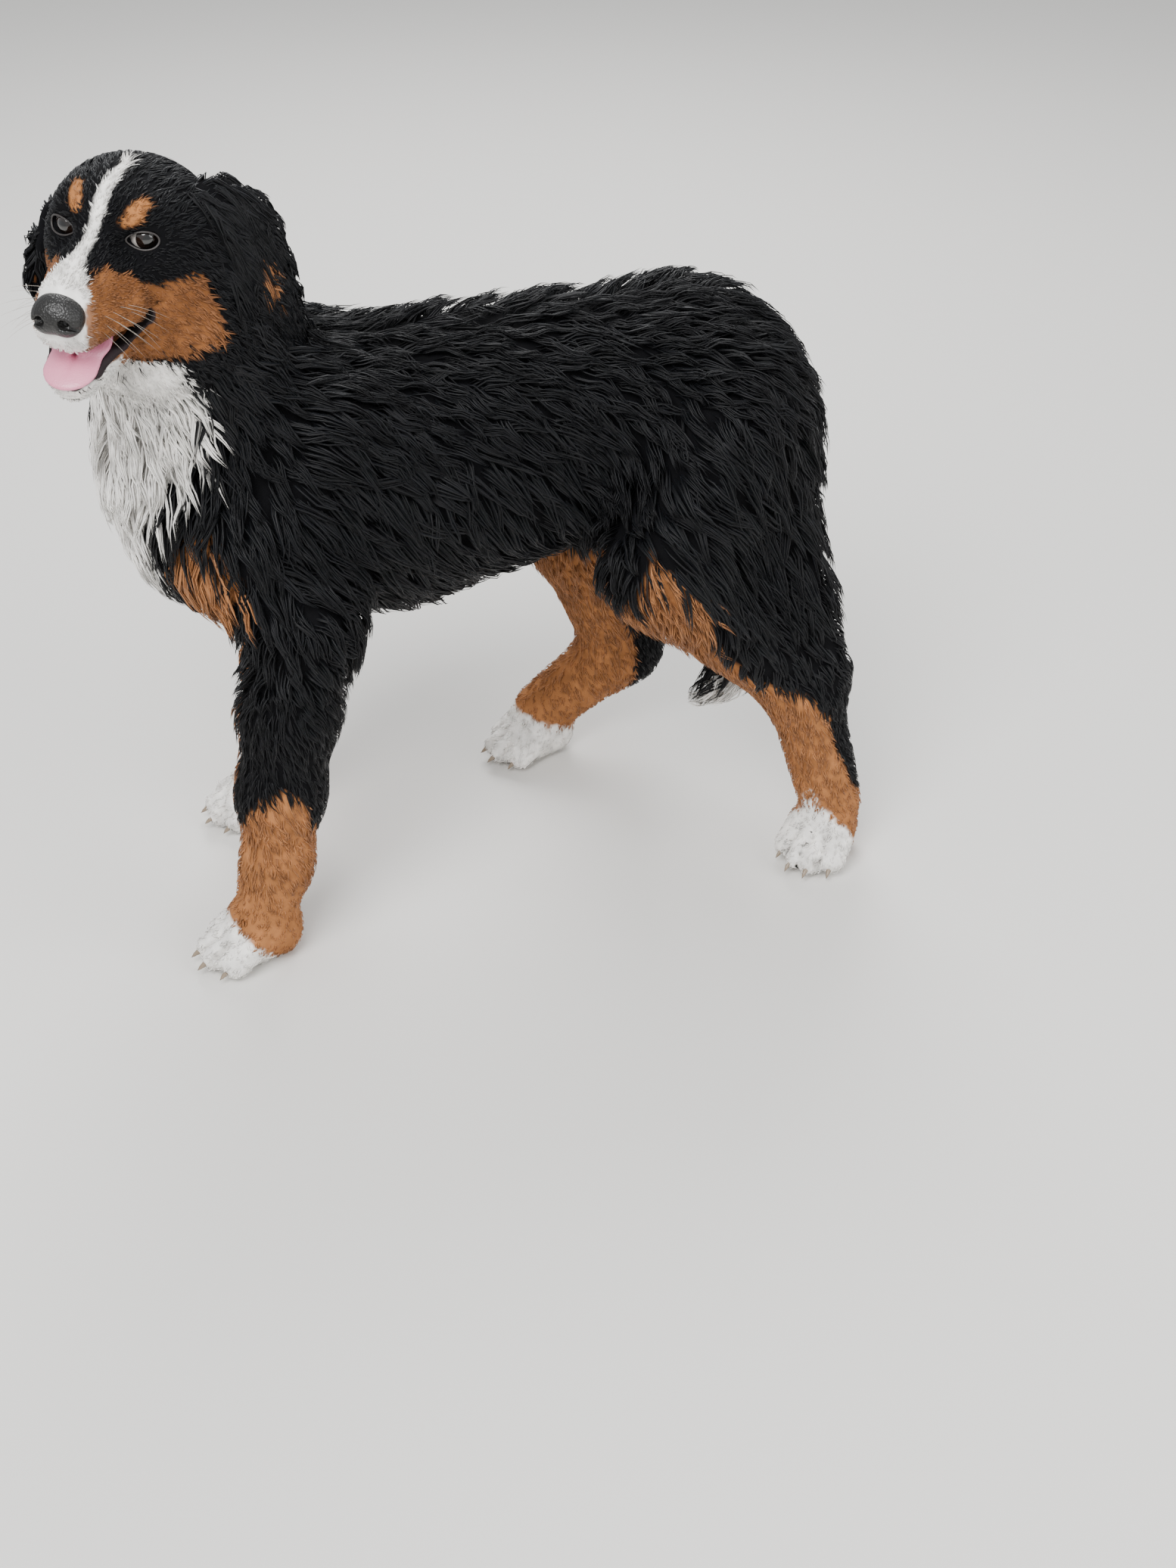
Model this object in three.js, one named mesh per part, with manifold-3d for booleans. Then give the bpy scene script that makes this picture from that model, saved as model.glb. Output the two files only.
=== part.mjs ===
// A young Bernese mountain dog as a still, life-size model: it stands square on in front,
// with one hind leg back and one under the belly, and turns its head to its left.
// Millimetres. The nose end is at -X, the dog's left side at -Y, and the paws stand on Z = 0.
import * as THREE from "three";
import { mergeVertices } from "three/addons/utils/BufferGeometryUtils.js";
import Module from "manifold-3d";

const wasm = await Module();
wasm.setup();

// Driving dimensions of the animal.
const WITHERS = 540; // top of the shoulders, above the floor
const CHEST_WIDTH = 220;
const HEAD_TURN = 58.2; // degrees from straight ahead, to the dog's left
const HEAD_NOD = -1.6;
const HEAD_TILT = -5.6;

const GAP = 0.3; // between two nodes that touch
const HALF_GAP = GAP / 2;
const LEFT = -1;
const RIGHT = 1;

const at = (x, y, z) => new THREE.Vector3(x, y, z);

// Distance fields. Each is a function of x, y and z that is below 0 inside the body.

// A limb with round ends: radius ra at a and rb at b, and flat times thinner along axis.
function limb(a, b, ra, rb, flat = 1, axis = null) {
  const along = b.clone().sub(a);
  const squared = Math.max(along.lengthSq(), 1e-9);
  return (x, y, z) => {
    const px = x - a.x;
    const py = y - a.y;
    const pz = z - a.z;
    const t = Math.min(1, Math.max(0, (px * along.x + py * along.y + pz * along.z) / squared));
    let ox = px - t * along.x;
    let oy = py - t * along.y;
    let oz = pz - t * along.z;
    if (axis) {
      const across = (ox * axis.x + oy * axis.y + oz * axis.z) * (flat - 1);
      ox += across * axis.x;
      oy += across * axis.y;
      oz += across * axis.z;
    }
    return (Math.hypot(ox, oy, oz) - (ra + t * (rb - ra))) / (axis ? Math.sqrt(flat) : 1);
  };
}

// An egg: an ellipsoid with its own radius along each axis, nodding by pitch about Y.
function egg(centre, radii, pitch = 0) {
  const c = Math.cos(THREE.MathUtils.degToRad(pitch));
  const s = Math.sin(THREE.MathUtils.degToRad(pitch));
  return (x, y, z) => {
    const px = x - centre.x;
    const pz = z - centre.z;
    const ex = (c * px + s * pz) / radii.x;
    const ey = (y - centre.y) / radii.y;
    const ez = (c * pz - s * px) / radii.z;
    const near = Math.hypot(ex, ey, ez);
    const slope = Math.hypot(ex / radii.x, ey / radii.y, ez / radii.z);
    return slope < 1e-9 ? -Math.min(radii.x, radii.y, radii.z) : (near * (near - 1)) / slope;
  };
}

// Several fields run together, with each seam rounded over about soft.
function melt(soft, fields) {
  return (x, y, z) => {
    let nearest = fields[0](x, y, z);
    for (let i = 1; i < fields.length; i++) {
      const other = fields[i](x, y, z);
      const share = Math.max(soft - Math.abs(nearest - other), 0) / soft;
      nearest = Math.min(nearest, other) - share * share * soft * 0.25;
    }
    return nearest;
  };
}

// A field with hollows pressed into it, with each rim rounded over about soft.
function press(field, soft, hollows) {
  const filled = melt(soft, [(x, y, z) => -field(x, y, z), ...hollows]);
  return (x, y, z) => -filled(x, y, z);
}

// The trunk, from the measures of the withers and the chest.
const chestHalf = CHEST_WIDTH / 2;
const withers = at(-115, 0, WITHERS - 77);
const loinTop = at(70, 0, WITHERS - 66);
const croup = at(195, 0, WITHERS - 92);
const trunk = melt(45, [
  egg(at(-78, 0, 412), at(178, chestHalf, 114)),
  limb(withers, loinTop, 72, 64),
  limb(at(20, 0, 440), at(190, 0, 452), 84, 84),
  egg(at(20, 0, 388), at(150, 88, 64), -4),
  egg(croup, at(112, 94, 84)),
  egg(at(-222, 0, 415), at(76, 80, 86)),
  egg(at(-248, -16, 478), at(58, 62, 86)),
  limb(at(-218, 0, 368), at(-60, 0, 346), 54, 54),
  ...[LEFT, RIGHT].flatMap((side) => [
    limb(at(-205, side * 70, 395), at(-130, side * 66, 478), 50, 46),
    egg(at(246, side * 52, 400), at(58, 48, 84), 12),
  ]),
]);

// The neck bends to the left on its way up to the head.
const neckRoot = at(-178, -4, 464);
const neckMid = at(-236, -50, 582);
const headRoot = at(-250, -72, 640);
const neckField = melt(30, [limb(neckRoot, neckMid, 98, 74), limb(neckMid, headRoot, 74, 62)]);

// The legs: joints from the body down, with the radius of the coat round each.
function foreleg(side, back) {
  const shoulder = at(-205 + back, side * 80, 392);
  const elbow = at(-166 + back, side * 97, 328);
  const forearm = at(-186 + back, side * 103, 250);
  const carpus = at(-201 + back, side * 105, 168);
  const pastern = at(-210 + back, side * 106, 98);
  const ankle = at(-226 + back, side * 107, 46);
  return {
    ankle,
    field: melt(24, [
      limb(shoulder, elbow, 48, 48),
      limb(elbow, forearm, 47, 40),
      limb(forearm, carpus, 40, 35),
      limb(carpus, pastern, 35, 28),
      limb(pastern, ankle, 28, 30),
    ]),
  };
}

function hindleg(side, stifle, hock, heel, ankle) {
  const hip = at(216, side * 64, 436);
  const ham = at(246, side * 82, 372);
  return {
    ankle,
    field: melt(26, [
      limb(hip, stifle, 78, 58),
      limb(stifle, hock, 56, 33),
      limb(ham, heel, 50, 21),
      limb(hock, ankle, 34, 30),
    ]),
  };
}

const forelegs = { left: foreleg(LEFT, 0), right: foreleg(RIGHT, 42) };
const hindlegs = {
  left: hindleg(LEFT, at(150, -104, 335), at(282, -116, 190), at(302, -116, 206), at(318, -120, 56)),
  right: hindleg(RIGHT, at(142, 98, 276), at(184, 112, 118), at(204, 112, 128), at(106, 128, 50)),
};

// A paw: four toes that fan out from the ankle, over one broad pad, heading degrees from -X.
function paw(ankle, heading, length, width) {
  const turn = THREE.MathUtils.degToRad(heading);
  const place = (forward, across, up) =>
    at(
      ankle.x - forward * Math.cos(turn) - across * Math.sin(turn),
      ankle.y - forward * Math.sin(turn) + across * Math.cos(turn),
      up,
    );
  const toes = [-0.36, -0.13, 0.13, 0.36].map((spread, i) => {
    const reach = i === 1 || i === 2 ? length * 0.64 : length * 0.5;
    const knuckle = place(length * 0.16, spread * width * 0.8, 30);
    const tip = place(reach - 13, spread * width, 15);
    return limb(knuckle, tip, 17, 14);
  });
  return melt(9, [limb(place(-6, 0, 24), place(length * 0.14, 0, 24), 27, 30), ...toes]);
}

const paws = {
  fore_left: paw(forelegs.left.ankle, 6, 100, 70),
  fore_right: paw(forelegs.right.ankle, 2, 100, 70),
  hind_left: paw(hindlegs.left.ankle, 38, 96, 66),
  hind_right: paw(hindlegs.right.ankle, 6, 96, 66),
};

// The tail hangs behind the thighs and curls in under them at the hocks.
const tailLine = [
  [at(268, 0, 470), 32],
  [at(298, 0, 425), 31],
  [at(304, 1, 350), 32],
  [at(302, 0, 275), 32],
  [at(284, -2, 200), 29],
  [at(258, -4, 146), 23],
  [at(226, -5, 126), 8],
];
const tailField = melt(
  20,
  tailLine.slice(1).map(([end, radius], i) => limb(tailLine[i][0], end, tailLine[i][1], radius)),
);

// The head's own frame: X forward along the muzzle, Y to the dog's left and Z up, with its
// origin midway between the eyes.
const turn = THREE.MathUtils.degToRad(HEAD_TURN);
const nod = THREE.MathUtils.degToRad(HEAD_NOD);
const tilt = THREE.MathUtils.degToRad(HEAD_TILT);
const muzzleWay = at(
  -Math.cos(turn) * Math.cos(nod),
  -Math.sin(turn) * Math.cos(nod),
  Math.sin(nod),
);
const level = at(Math.sin(turn), -Math.cos(turn), 0);
const upright = muzzleWay.clone().cross(level);
const headLeft = level.clone().multiplyScalar(Math.cos(tilt)).addScaledVector(upright, Math.sin(tilt));
const headUp = upright.clone().multiplyScalar(Math.cos(tilt)).addScaledVector(level, -Math.sin(tilt));
const headFrame = new THREE.Matrix4()
  .makeBasis(muzzleWay, headLeft, headUp)
  .setPosition(-283, -120, 678);
const fromWorld = headFrame.clone().invert().elements;

// A field given in the head's frame, read in the dog's.
function onHead(field) {
  const m = fromWorld;
  return (x, y, z) =>
    field(
      m[0] * x + m[4] * y + m[8] * z + m[12],
      m[1] * x + m[5] * y + m[9] * z + m[13],
      m[2] * x + m[6] * y + m[10] * z + m[14],
    );
}

// Each eye sits in a socket, behind an opening between two raised lids.
const EYE_RADIUS = 11.5;
const LID_RADIUS = 13.6;
const eyeCentre = (side) => at(-9, side * 27, -2);
const eyeFacing = (side) => at(0.9, side * 0.4, 0.05).normalize();

const across = at(0, 1, 0);
const bothSides = (shapes) => [LEFT, RIGHT].flatMap(shapes);
const skullMass = melt(13, [
  egg(at(-46, 0, -3), at(58, 53, 38)),
  egg(at(-20, 0, 6), at(34, 38, 26)),
  limb(at(0, 0, -14), at(62, 0, -27), 24, 15, 0.85, across),
  limb(at(6, 0, -30), at(62, 0, -38), 31, 22),
  ...bothSides((side) => [
    egg(at(-12, side * 22, 12), at(15, 15, 11)),
    egg(at(-18, side * 30, -18), at(30, 15, 22)),
    egg(at(-42, side * 38, -32), at(36, 21, 38)),
    limb(at(64, side * 9, -48), at(22, side * 26, -43), 12, 13),
    limb(at(-50, side * 26, -56), at(-8, side * 22, -66), 22, 18),
  ]),
]);
const orbits = bothSides((side) => egg(at(15, side * 31, -3), at(13, 14, 11)));
const lids = bothSides((side) =>
  egg(eyeCentre(side).addScaledVector(eyeFacing(side), 1), at(LID_RADIUS, LID_RADIUS, LID_RADIUS)),
);
const skull = onHead(melt(5, [press(skullMass, 9, orbits), ...lids]));
// The lower lip runs from the corner of the mouth round the front of the jaw.
const lipLine = [
  [at(9, 34, -55), 6],
  [at(34, 25, -67), 5.5],
  [at(58, 17, -77), 4.5],
  [at(76, 7, -83), 4],
];
const mirrored = (p, side) => at(p.x, side * p.y, p.z);
const lowerLip = melt(
  4,
  bothSides((side) =>
    lipLine.slice(1).map(([end, radius], i) =>
      limb(mirrored(lipLine[i][0], side), mirrored(end, side), lipLine[i][1], radius),
    ),
  ),
);
const jawField = onHead(
  melt(8, [
    ...bothSides((side) => [limb(at(-6, side * 16, -72), at(62, side * 8, -87), 14, 10.5)]),
    limb(at(0, 0, -76), at(66, 0, -89), 14, 11.5),
    lowerLip,
  ]),
);
const tongueField = onHead(
  melt(6, [
    limb(at(4, 0, -60), at(44, 0, -66), 15, 18, 4, at(0, 0, 1)),
    limb(at(44, 0, -66), at(66, 1, -76), 18, 19.5, 4.5, at(0.4, 0, 0.92)),
  ]),
);
const noseField = onHead(
  melt(6, [
    egg(at(74, 0, -31), at(15, 18, 14)),
    egg(at(79, 8, -35), at(9, 9, 9)),
    egg(at(79, -8, -35), at(9, 9, 9)),
  ]),
);

// The ears are soft flaps, wide in the middle, that hang from the sides of the skull. The left
// one is laid back and the right one stands a little off the cheek.
const EAR_DEPTH = 2.5;
function earField(line, facing) {
  return onHead(
    melt(
      10,
      line.slice(1).map(([end, radius], i) => limb(line[i][0], end, line[i][1], radius, 4.4, facing)),
    ),
  );
}
const earFields = {
  left: earField(
    [
      [at(-56, 44, 14), 14],
      [at(-70, 57, -4), 27],
      [at(-85, 71, -33), 42],
      [at(-98, 81, -66), 37],
      [at(-111, 90, -92), 23],
      [at(-119, 95, -105), 12],
    ],
    at(0.2, 0.95, 0.24),
  ),
  right: earField(
    [
      [at(-60, -40, 2), 12],
      [at(-64, -52, -20), 17],
      [at(-62, -67, -40), 31],
      [at(-62, -77, -62), 30],
      [at(-64, -81, -84), 15],
    ],
    at(0, -0.98, -0.18),
  ),
};

// The whole animal out to the tips of its coat, before it is parted into nodes.
const body = melt(30, [
  trunk,
  neckField,
  forelegs.left.field,
  forelegs.right.field,
  hindlegs.left.field,
  hindlegs.right.field,
]);
const feet = melt(14, [body, ...Object.values(paws)]);
const whole = melt(24, [feet, skull]);

// The long coat grows from a core that lies below its tips. The face and the lower legs have
// short hair, so there the core comes up to the surface.
const CORE_DEPTH = 9;
const SHORT_LEG = 175; // height below which the legs have short hair
const LONG_LEG = 290;
const faceCentre = at(12, 0, -25).applyMatrix4(headFrame);
const FACE_RADIUS = 96;
const RUFF_RADIUS = 132;
const { smoothstep } = THREE.MathUtils;
const longCoat = (x, y, z) =>
  smoothstep(z, SHORT_LEG, LONG_LEG) *
  smoothstep(Math.hypot(x - faceCentre.x, y - faceCentre.y, z - faceCentre.z), FACE_RADIUS, RUFF_RADIUS);
const core = (x, y, z) => whole(x, y, z) + CORE_DEPTH * longCoat(x, y, z);
const tailCore = (x, y, z) => tailField(x, y, z) + CORE_DEPTH;
const earCores = {
  left: (x, y, z) => earFields.left(x, y, z) + EAR_DEPTH,
  right: (x, y, z) => earFields.right(x, y, z) + EAR_DEPTH,
};

// Marching tetrahedra: six to each cube of the grid, all round its long diagonal.
const CORNER_PATHS = [
  [1, 3, 7],
  [2, 3, 7],
  [2, 6, 7],
  [4, 6, 7],
  [4, 5, 7],
  [1, 5, 7],
];

// The surface of a field inside a box, as one closed solid.
function sculpt(field, low, high, step, tolerance) {
  const size = [0, 1, 2].map((k) => Math.ceil((high.getComponent(k) - low.getComponent(k)) / step) + 1);
  const [nx, ny, nz] = size;
  const strides = [1, nx, nx * ny];
  const values = new Float32Array(nx * ny * nz);
  for (let k = 0, i = 0; k < nz; k++)
    for (let j = 0; j < ny; j++)
      for (let h = 0; h < nx; h++, i++) {
        const edge = h === 0 || j === 0 || k === 0 || h === nx - 1 || j === ny - 1 || k === nz - 1;
        const value = field(low.x + h * step, low.y + j * step, low.z + k * step);
        values[i] = edge ? Math.max(value, 0.3 * step) : Math.abs(value) < 1e-3 ? 1e-3 : value;
      }
  const corner = (base, bits) =>
    base + (bits & 1 ? strides[0] : 0) + (bits & 2 ? strides[1] : 0) + (bits & 4 ? strides[2] : 0);
  const made = new Int32Array(values.length * 8).fill(-1);
  const points = [];
  const faces = [];
  const gridPoint = (i) => {
    const h = i % nx;
    const j = Math.floor(i / nx) % ny;
    const k = Math.floor(i / (nx * ny));
    return [low.x + h * step, low.y + j * step, low.z + k * step];
  };
  // The vertex on the edge between two corners of one cube.
  const crossing = (base, bitsA, bitsB) => {
    const [from, to] = bitsA < bitsB ? [bitsA, bitsB] : [bitsB, bitsA];
    const a = corner(base, from);
    const key = a * 8 + (to ^ from);
    if (made[key] < 0) {
      const b = corner(base, to);
      const share = values[a] / (values[a] - values[b]);
      const pa = gridPoint(a);
      const pb = gridPoint(b);
      made[key] = points.length / 3;
      for (let axis = 0; axis < 3; axis++) points.push(pa[axis] + share * (pb[axis] - pa[axis]));
    }
    return made[key];
  };
  const facing = (a, b, c, inside) => {
    const p = (v) => at(points[3 * v], points[3 * v + 1], points[3 * v + 2]);
    const normal = p(b).sub(p(a)).cross(p(c).sub(p(a)));
    const outward = p(a).sub(at(...gridPoint(inside)));
    if (normal.dot(outward) >= 0) faces.push(a, b, c);
    else faces.push(a, c, b);
  };
  for (let k = 0; k < nz - 1; k++)
    for (let j = 0; j < ny - 1; j++)
      for (let h = 0; h < nx - 1; h++) {
        const base = h + j * nx + k * nx * ny;
        let inside = 0;
        for (let bits = 0; bits < 8; bits++) inside += values[corner(base, bits)] < 0 ? 1 : 0;
        if (inside === 0 || inside === 8) continue;
        for (const path of CORNER_PATHS) {
          const bits = [0, ...path];
          const filled = bits.filter((b) => values[corner(base, b)] < 0);
          const open = bits.filter((b) => values[corner(base, b)] >= 0);
          if (filled.length === 0 || open.length === 0) continue;
          const seed = corner(base, filled[0]);
          if (filled.length === 2) {
            const quad = [
              crossing(base, filled[0], open[0]),
              crossing(base, filled[0], open[1]),
              crossing(base, filled[1], open[1]),
              crossing(base, filled[1], open[0]),
            ];
            facing(quad[0], quad[1], quad[2], seed);
            facing(quad[0], quad[2], quad[3], seed);
          } else {
            const [lone, rest] = filled.length === 1 ? [filled[0], open] : [open[0], filled];
            const [a, b, c] = rest.map((other) => crossing(base, lone, other));
            facing(a, b, c, seed);
          }
        }
      }
  const mesh = new wasm.Mesh({
    numProp: 3,
    vertProperties: new Float32Array(points),
    triVerts: new Uint32Array(faces),
  });
  return largest(new wasm.Manifold(mesh).simplify(tolerance));
}

function largest(solid) {
  const pieces = solid.decompose();
  return pieces.reduce((a, b) => (b.volume() > a.volume() ? b : a));
}

// A three.js geometry, placed by a matrix, as a solid.
function solidOf(geometry, matrix = new THREE.Matrix4()) {
  const plain = geometry.clone().applyMatrix4(matrix);
  plain.deleteAttribute("normal");
  plain.deleteAttribute("uv");
  const merged = mergeVertices(plain, 1e-4);
  return new wasm.Manifold(
    new wasm.Mesh({
      numProp: 3,
      vertProperties: merged.attributes.position.array,
      triVerts: new Uint32Array(merged.index.array),
    }),
  );
}

function geometryOf(solid) {
  const { vertProperties, triVerts, numVert, numProp } = solid.getMesh();
  const xyz = new Float32Array(numVert * 3);
  for (let i = 0; i < numVert; i++)
    xyz.set(vertProperties.subarray(i * numProp, i * numProp + 3), i * 3);
  const geometry = new THREE.BufferGeometry();
  geometry.setAttribute("position", new THREE.BufferAttribute(xyz, 3));
  geometry.setIndex(new THREE.BufferAttribute(triVerts, 1));
  return geometry;
}

// A solid without the slivers and pinches that a cut leaves. Corners are set on a fine grid, where
// near ones that an edge joins become one. Others in the same place, where two walls only touch,
// step apart into their own walls. Only the outer surface of what is then one body stays.
const GRID = 0.01;
const STEP_APART = 4;
function tidy(solid) {
  const geometry = geometryOf(largest(solid).asOriginal());
  geometry.computeVertexNormals();
  const { array: xyz } = geometry.attributes.position;
  const { array: normals } = geometry.attributes.normal;
  const { array: faces } = geometry.index;
  const steps = xyz.map((value) => Math.round(value / GRID));
  const place = (i) => steps.subarray(3 * i, 3 * i + 3).join();
  const joined = Array.from({ length: xyz.length / 3 }, (_, i) => i);
  const same = (i) => (joined[i] === i ? i : (joined[i] = same(joined[i])));
  for (let f = 0; f < faces.length; f++) {
    const next = faces[f % 3 === 2 ? f - 2 : f + 1];
    if (place(faces[f]) === place(next)) joined[same(faces[f])] = same(next);
  }
  const shared = new Map();
  joined.forEach((_, i) => {
    if (same(i) === i) shared.set(place(i), (shared.get(place(i)) ?? 0) + 1);
  });
  const corners = joined.map((_, i) => {
    const apart = shared.get(place(same(i))) > 1 ? STEP_APART : 0;
    return [0, 1, 2].map((k) => Math.round(steps[3 * same(i) + k] - apart * normals[3 * same(i) + k]) * GRID);
  });
  geometry.setAttribute("position", new THREE.Float32BufferAttribute(corners.flat(), 3));
  return largest(solidOf(geometry));
}

const box = (low, high) => {
  const size = high.clone().sub(low);
  const middle = low.clone().addScaledVector(size, 0.5);
  return solidOf(
    new THREE.BoxGeometry(size.x, size.y, size.z),
    new THREE.Matrix4().setPosition(middle),
  );
};

// What lies beyond a plane through a point, on the side of its normal, less half the gap.
const beyond = (solid, normal, point) => {
  const n = normal.clone().normalize();
  return solid.trimByPlane([n.x, n.y, n.z], n.dot(point) + HALF_GAP);
};
const FLOOR = 0;
const above = (solid, height) => beyond(solid, at(0, 0, 1), at(0, 0, height));
const below = (solid, height) => beyond(solid, at(0, 0, -1), at(0, 0, height));

// Seeded random numbers from 0 to 1, so that the coat grows alike each time.
function seeded(seed) {
  let state = seed;
  return () => {
    state = (state + 0x6d2b79f5) | 0;
    let mixed = Math.imul(state ^ (state >>> 15), 1 | state);
    mixed = (mixed + Math.imul(mixed ^ (mixed >>> 7), 61 | mixed)) ^ mixed;
    return ((mixed ^ (mixed >>> 14)) >>> 0) / 4294967296;
  };
}

// The slope of a field at a point, which points out of the body.
function slope(field, p) {
  const e = 3;
  return at(
    field(p.x + e, p.y, p.z) - field(p.x - e, p.y, p.z),
    field(p.x, p.y + e, p.z) - field(p.x, p.y - e, p.z),
    field(p.x, p.y, p.z + e) - field(p.x, p.y, p.z - e),
  ).multiplyScalar(0.5 / e);
}

// Moves a point along the slope until it is at a height over the field's surface.
function settle(field, p, height) {
  for (let round = 0; round < 3; round++) {
    const out = slope(field, p);
    p.addScaledVector(out, (height - field(p.x, p.y, p.z)) / Math.max(out.lengthSq(), 0.2));
  }
  return p;
}

// A lock is a flat blade of hair with a low ridge: rings of three corners from its sunk root to
// its last bend, then a tip. Each ring says how far along it is, how high over the core, and how
// wide.
const LOCK_SECTION = [[1, -0.4], [0, 1], [-1, -0.4]];
const CORNERS = LOCK_SECTION.length;
const LOCK_RINGS = [
  { along: -0.06, height: -8, width: 0.75, thick: 1 },
  { along: 0.3, height: 2, width: 1, thick: 1 },
  { along: 0.66, height: 6, width: 0.8, thick: 0.75 },
];
function lock(field, root, lie, length, width, thick, lift, bend) {
  const out = slope(field, root).normalize();
  const way = lie.clone().addScaledVector(out, -lie.dot(out)).normalize();
  const side = out.clone().cross(way);
  const spot = (along, height) =>
    settle(
      field,
      root
        .clone()
        .addScaledVector(way, along * length)
        .addScaledVector(side, bend * along * along * length),
      height,
    );
  const xyz = [];
  for (const { along, height, width: share, thick: deep } of LOCK_RINGS) {
    const p = spot(along, height);
    const up = slope(field, p).normalize();
    const flank = up.clone().cross(way).normalize();
    for (const [wide, high] of LOCK_SECTION) {
      const corner = p
        .clone()
        .addScaledVector(flank, (wide * share * width) / 2)
        .addScaledVector(up, (high * deep * thick) / 2);
      xyz.push(corner.x, corner.y, corner.z);
    }
  }
  const tip = spot(1, lift);
  xyz.push(tip.x, tip.y, tip.z);
  const faces = [0, 2, 1];
  const last = LOCK_RINGS.length * CORNERS;
  for (let ring = 0; ring < LOCK_RINGS.length; ring++)
    for (let i = 0; i < CORNERS; i++) {
      const a = ring * CORNERS + i;
      const b = ring * CORNERS + ((i + 1) % CORNERS);
      if (ring === LOCK_RINGS.length - 1) faces.push(a, b, last);
      else faces.push(a, b, b + CORNERS, a, b + CORNERS, a + CORNERS);
    }
  const geometry = new THREE.BufferGeometry();
  geometry.setAttribute("position", new THREE.Float32BufferAttribute(xyz, 3));
  geometry.setIndex(faces);
  return solidOf(geometry);
}

// Roots spread like shingles over the skin of a solid, away from its cut faces: side by side
// they stand a lock's width apart, and along the lie each covers the root of the next.
const SHINGLE = 0.74;
function spread(solid, field, style, random) {
  const { spacing, length, lie, grows = () => true } = style;
  const clear = (p, way) => (q) => {
    const gap = q.clone().sub(p);
    const ahead = gap.dot(way);
    const aside = Math.sqrt(Math.max(gap.lengthSq() - ahead * ahead, 0));
    return Math.hypot(ahead / (SHINGLE * length), aside / spacing) > 1;
  };
  const { vertProperties: v, triVerts: t, numProp } = solid.getMesh();
  const corner = (i) => at(v[i * numProp], v[i * numProp + 1], v[i * numProp + 2]);
  const triangles = [];
  let area = 0;
  for (let i = 0; i < t.length; i += 3) {
    const [a, b, c] = [corner(t[i]), corner(t[i + 1]), corner(t[i + 2])];
    const normal = b.clone().sub(a).cross(c.clone().sub(a));
    area += normal.length() / 2;
    triangles.push({ a, b, c, normal: normal.normalize(), upTo: area });
  }
  const roots = [];
  const tries = Math.ceil((area / (spacing * spacing)) * 60);
  for (let n = 0; n < tries; n++) {
    const pick = random() * area;
    let low = 0;
    let high = triangles.length - 1;
    while (low < high) {
      const middle = (low + high) >> 1;
      if (triangles[middle].upTo < pick) low = middle + 1;
      else high = middle;
    }
    const { a, b, c, normal } = triangles[low];
    const s = Math.sqrt(random());
    const r = random();
    const p = a
      .clone()
      .multiplyScalar(1 - s)
      .addScaledVector(b, s * (1 - r))
      .addScaledVector(c, s * r);
    const out = slope(field, p).normalize();
    const onSkin = Math.abs(field(p.x, p.y, p.z)) < 5 && out.dot(normal) > 0.6;
    const way = lie(p);
    way.addScaledVector(out, -way.dot(out)).normalize();
    if (onSkin && grows(p, out) && roots.every(clear(p, way))) roots.push(p);
  }
  return roots;
}

// Locks over a solid, joined to it.
const COAT_TOLERANCE = 3;
function growCoat(solid, field, seed, style) {
  const random = seeded(seed);
  const { length, width, lie, thick = 6, sway = 0.25, lift = CORE_DEPTH } = style;
  const vary = (low, high) => low + random() * (high - low);
  const locks = spread(solid, field, style, random).map((p) =>
    lock(
      field,
      p,
      lie(p).add(at(vary(-0.15, 0.15), vary(-0.15, 0.15), vary(-0.15, 0.15))),
      length * vary(0.85, 1.15),
      width * vary(0.85, 1.15),
      thick,
      lift * vary(0.9, 1.4),
      vary(-sway, sway),
    ),
  );
  return wasm.Manifold.union([solid, ...locks]).asOriginal().simplify(COAT_TOLERANCE);
}

const nodes = {};
const BODY_STEP = 19;
const BODY_TOLERANCE = 4;
const LEG_STEP = 15;
const PAW_STEP = 6;
const HEAD_STEP = 5;
const HEAD_TOLERANCE = 2.5;
const SOFT_GAP = 3; // room round a soft flap or lip that is cut out of its neighbour

// Cuts that part the animal into its nodes.
const neckWay = at(-0.53, -0.1, 0.84);
const neckBase = at(-112, 0, 545);
const headWay = at(0.914, 0, 0.406).transformDirection(headFrame);
const headBase = at(-60, 0, 5).applyMatrix4(headFrame);
const tailWay = at(0.86, 0, -0.51);
const tailBase = at(286, 0, 462);
const CHEST_BACK = -50;
const LOIN_BACK = 42;
const legSockets = {
  fore_left: [at(-300, -260, -20), at(-90, -42, 322)],
  fore_right: [at(-300, 42, -20), at(-60, 260, 322)],
  hind_left: [at(92, -260, -20), at(420, -12, 392)],
  hind_right: [at(60, 12, -20), at(420, 260, 392)],
};
const legCuts = {
  fore_left: [["foreleg", 180], ["pastern", 62], ["forepaw"]],
  fore_right: [["foreleg", 180], ["pastern", 62], ["forepaw"]],
  hind_left: [["thigh", 262], ["shank", 150], ["hock", 62], ["hindpaw"]],
  hind_right: [["thigh", 230], ["shank", 92], ["hock", 50], ["hindpaw"]],
};
const backward = at(1, 0, 0);
const forward = at(-1, 0, 0);
const inFront = (solid, x) => beyond(solid, forward, at(x, 0, 0));
const behind = (solid, x) => beyond(solid, backward, at(x, 0, 0));

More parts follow.
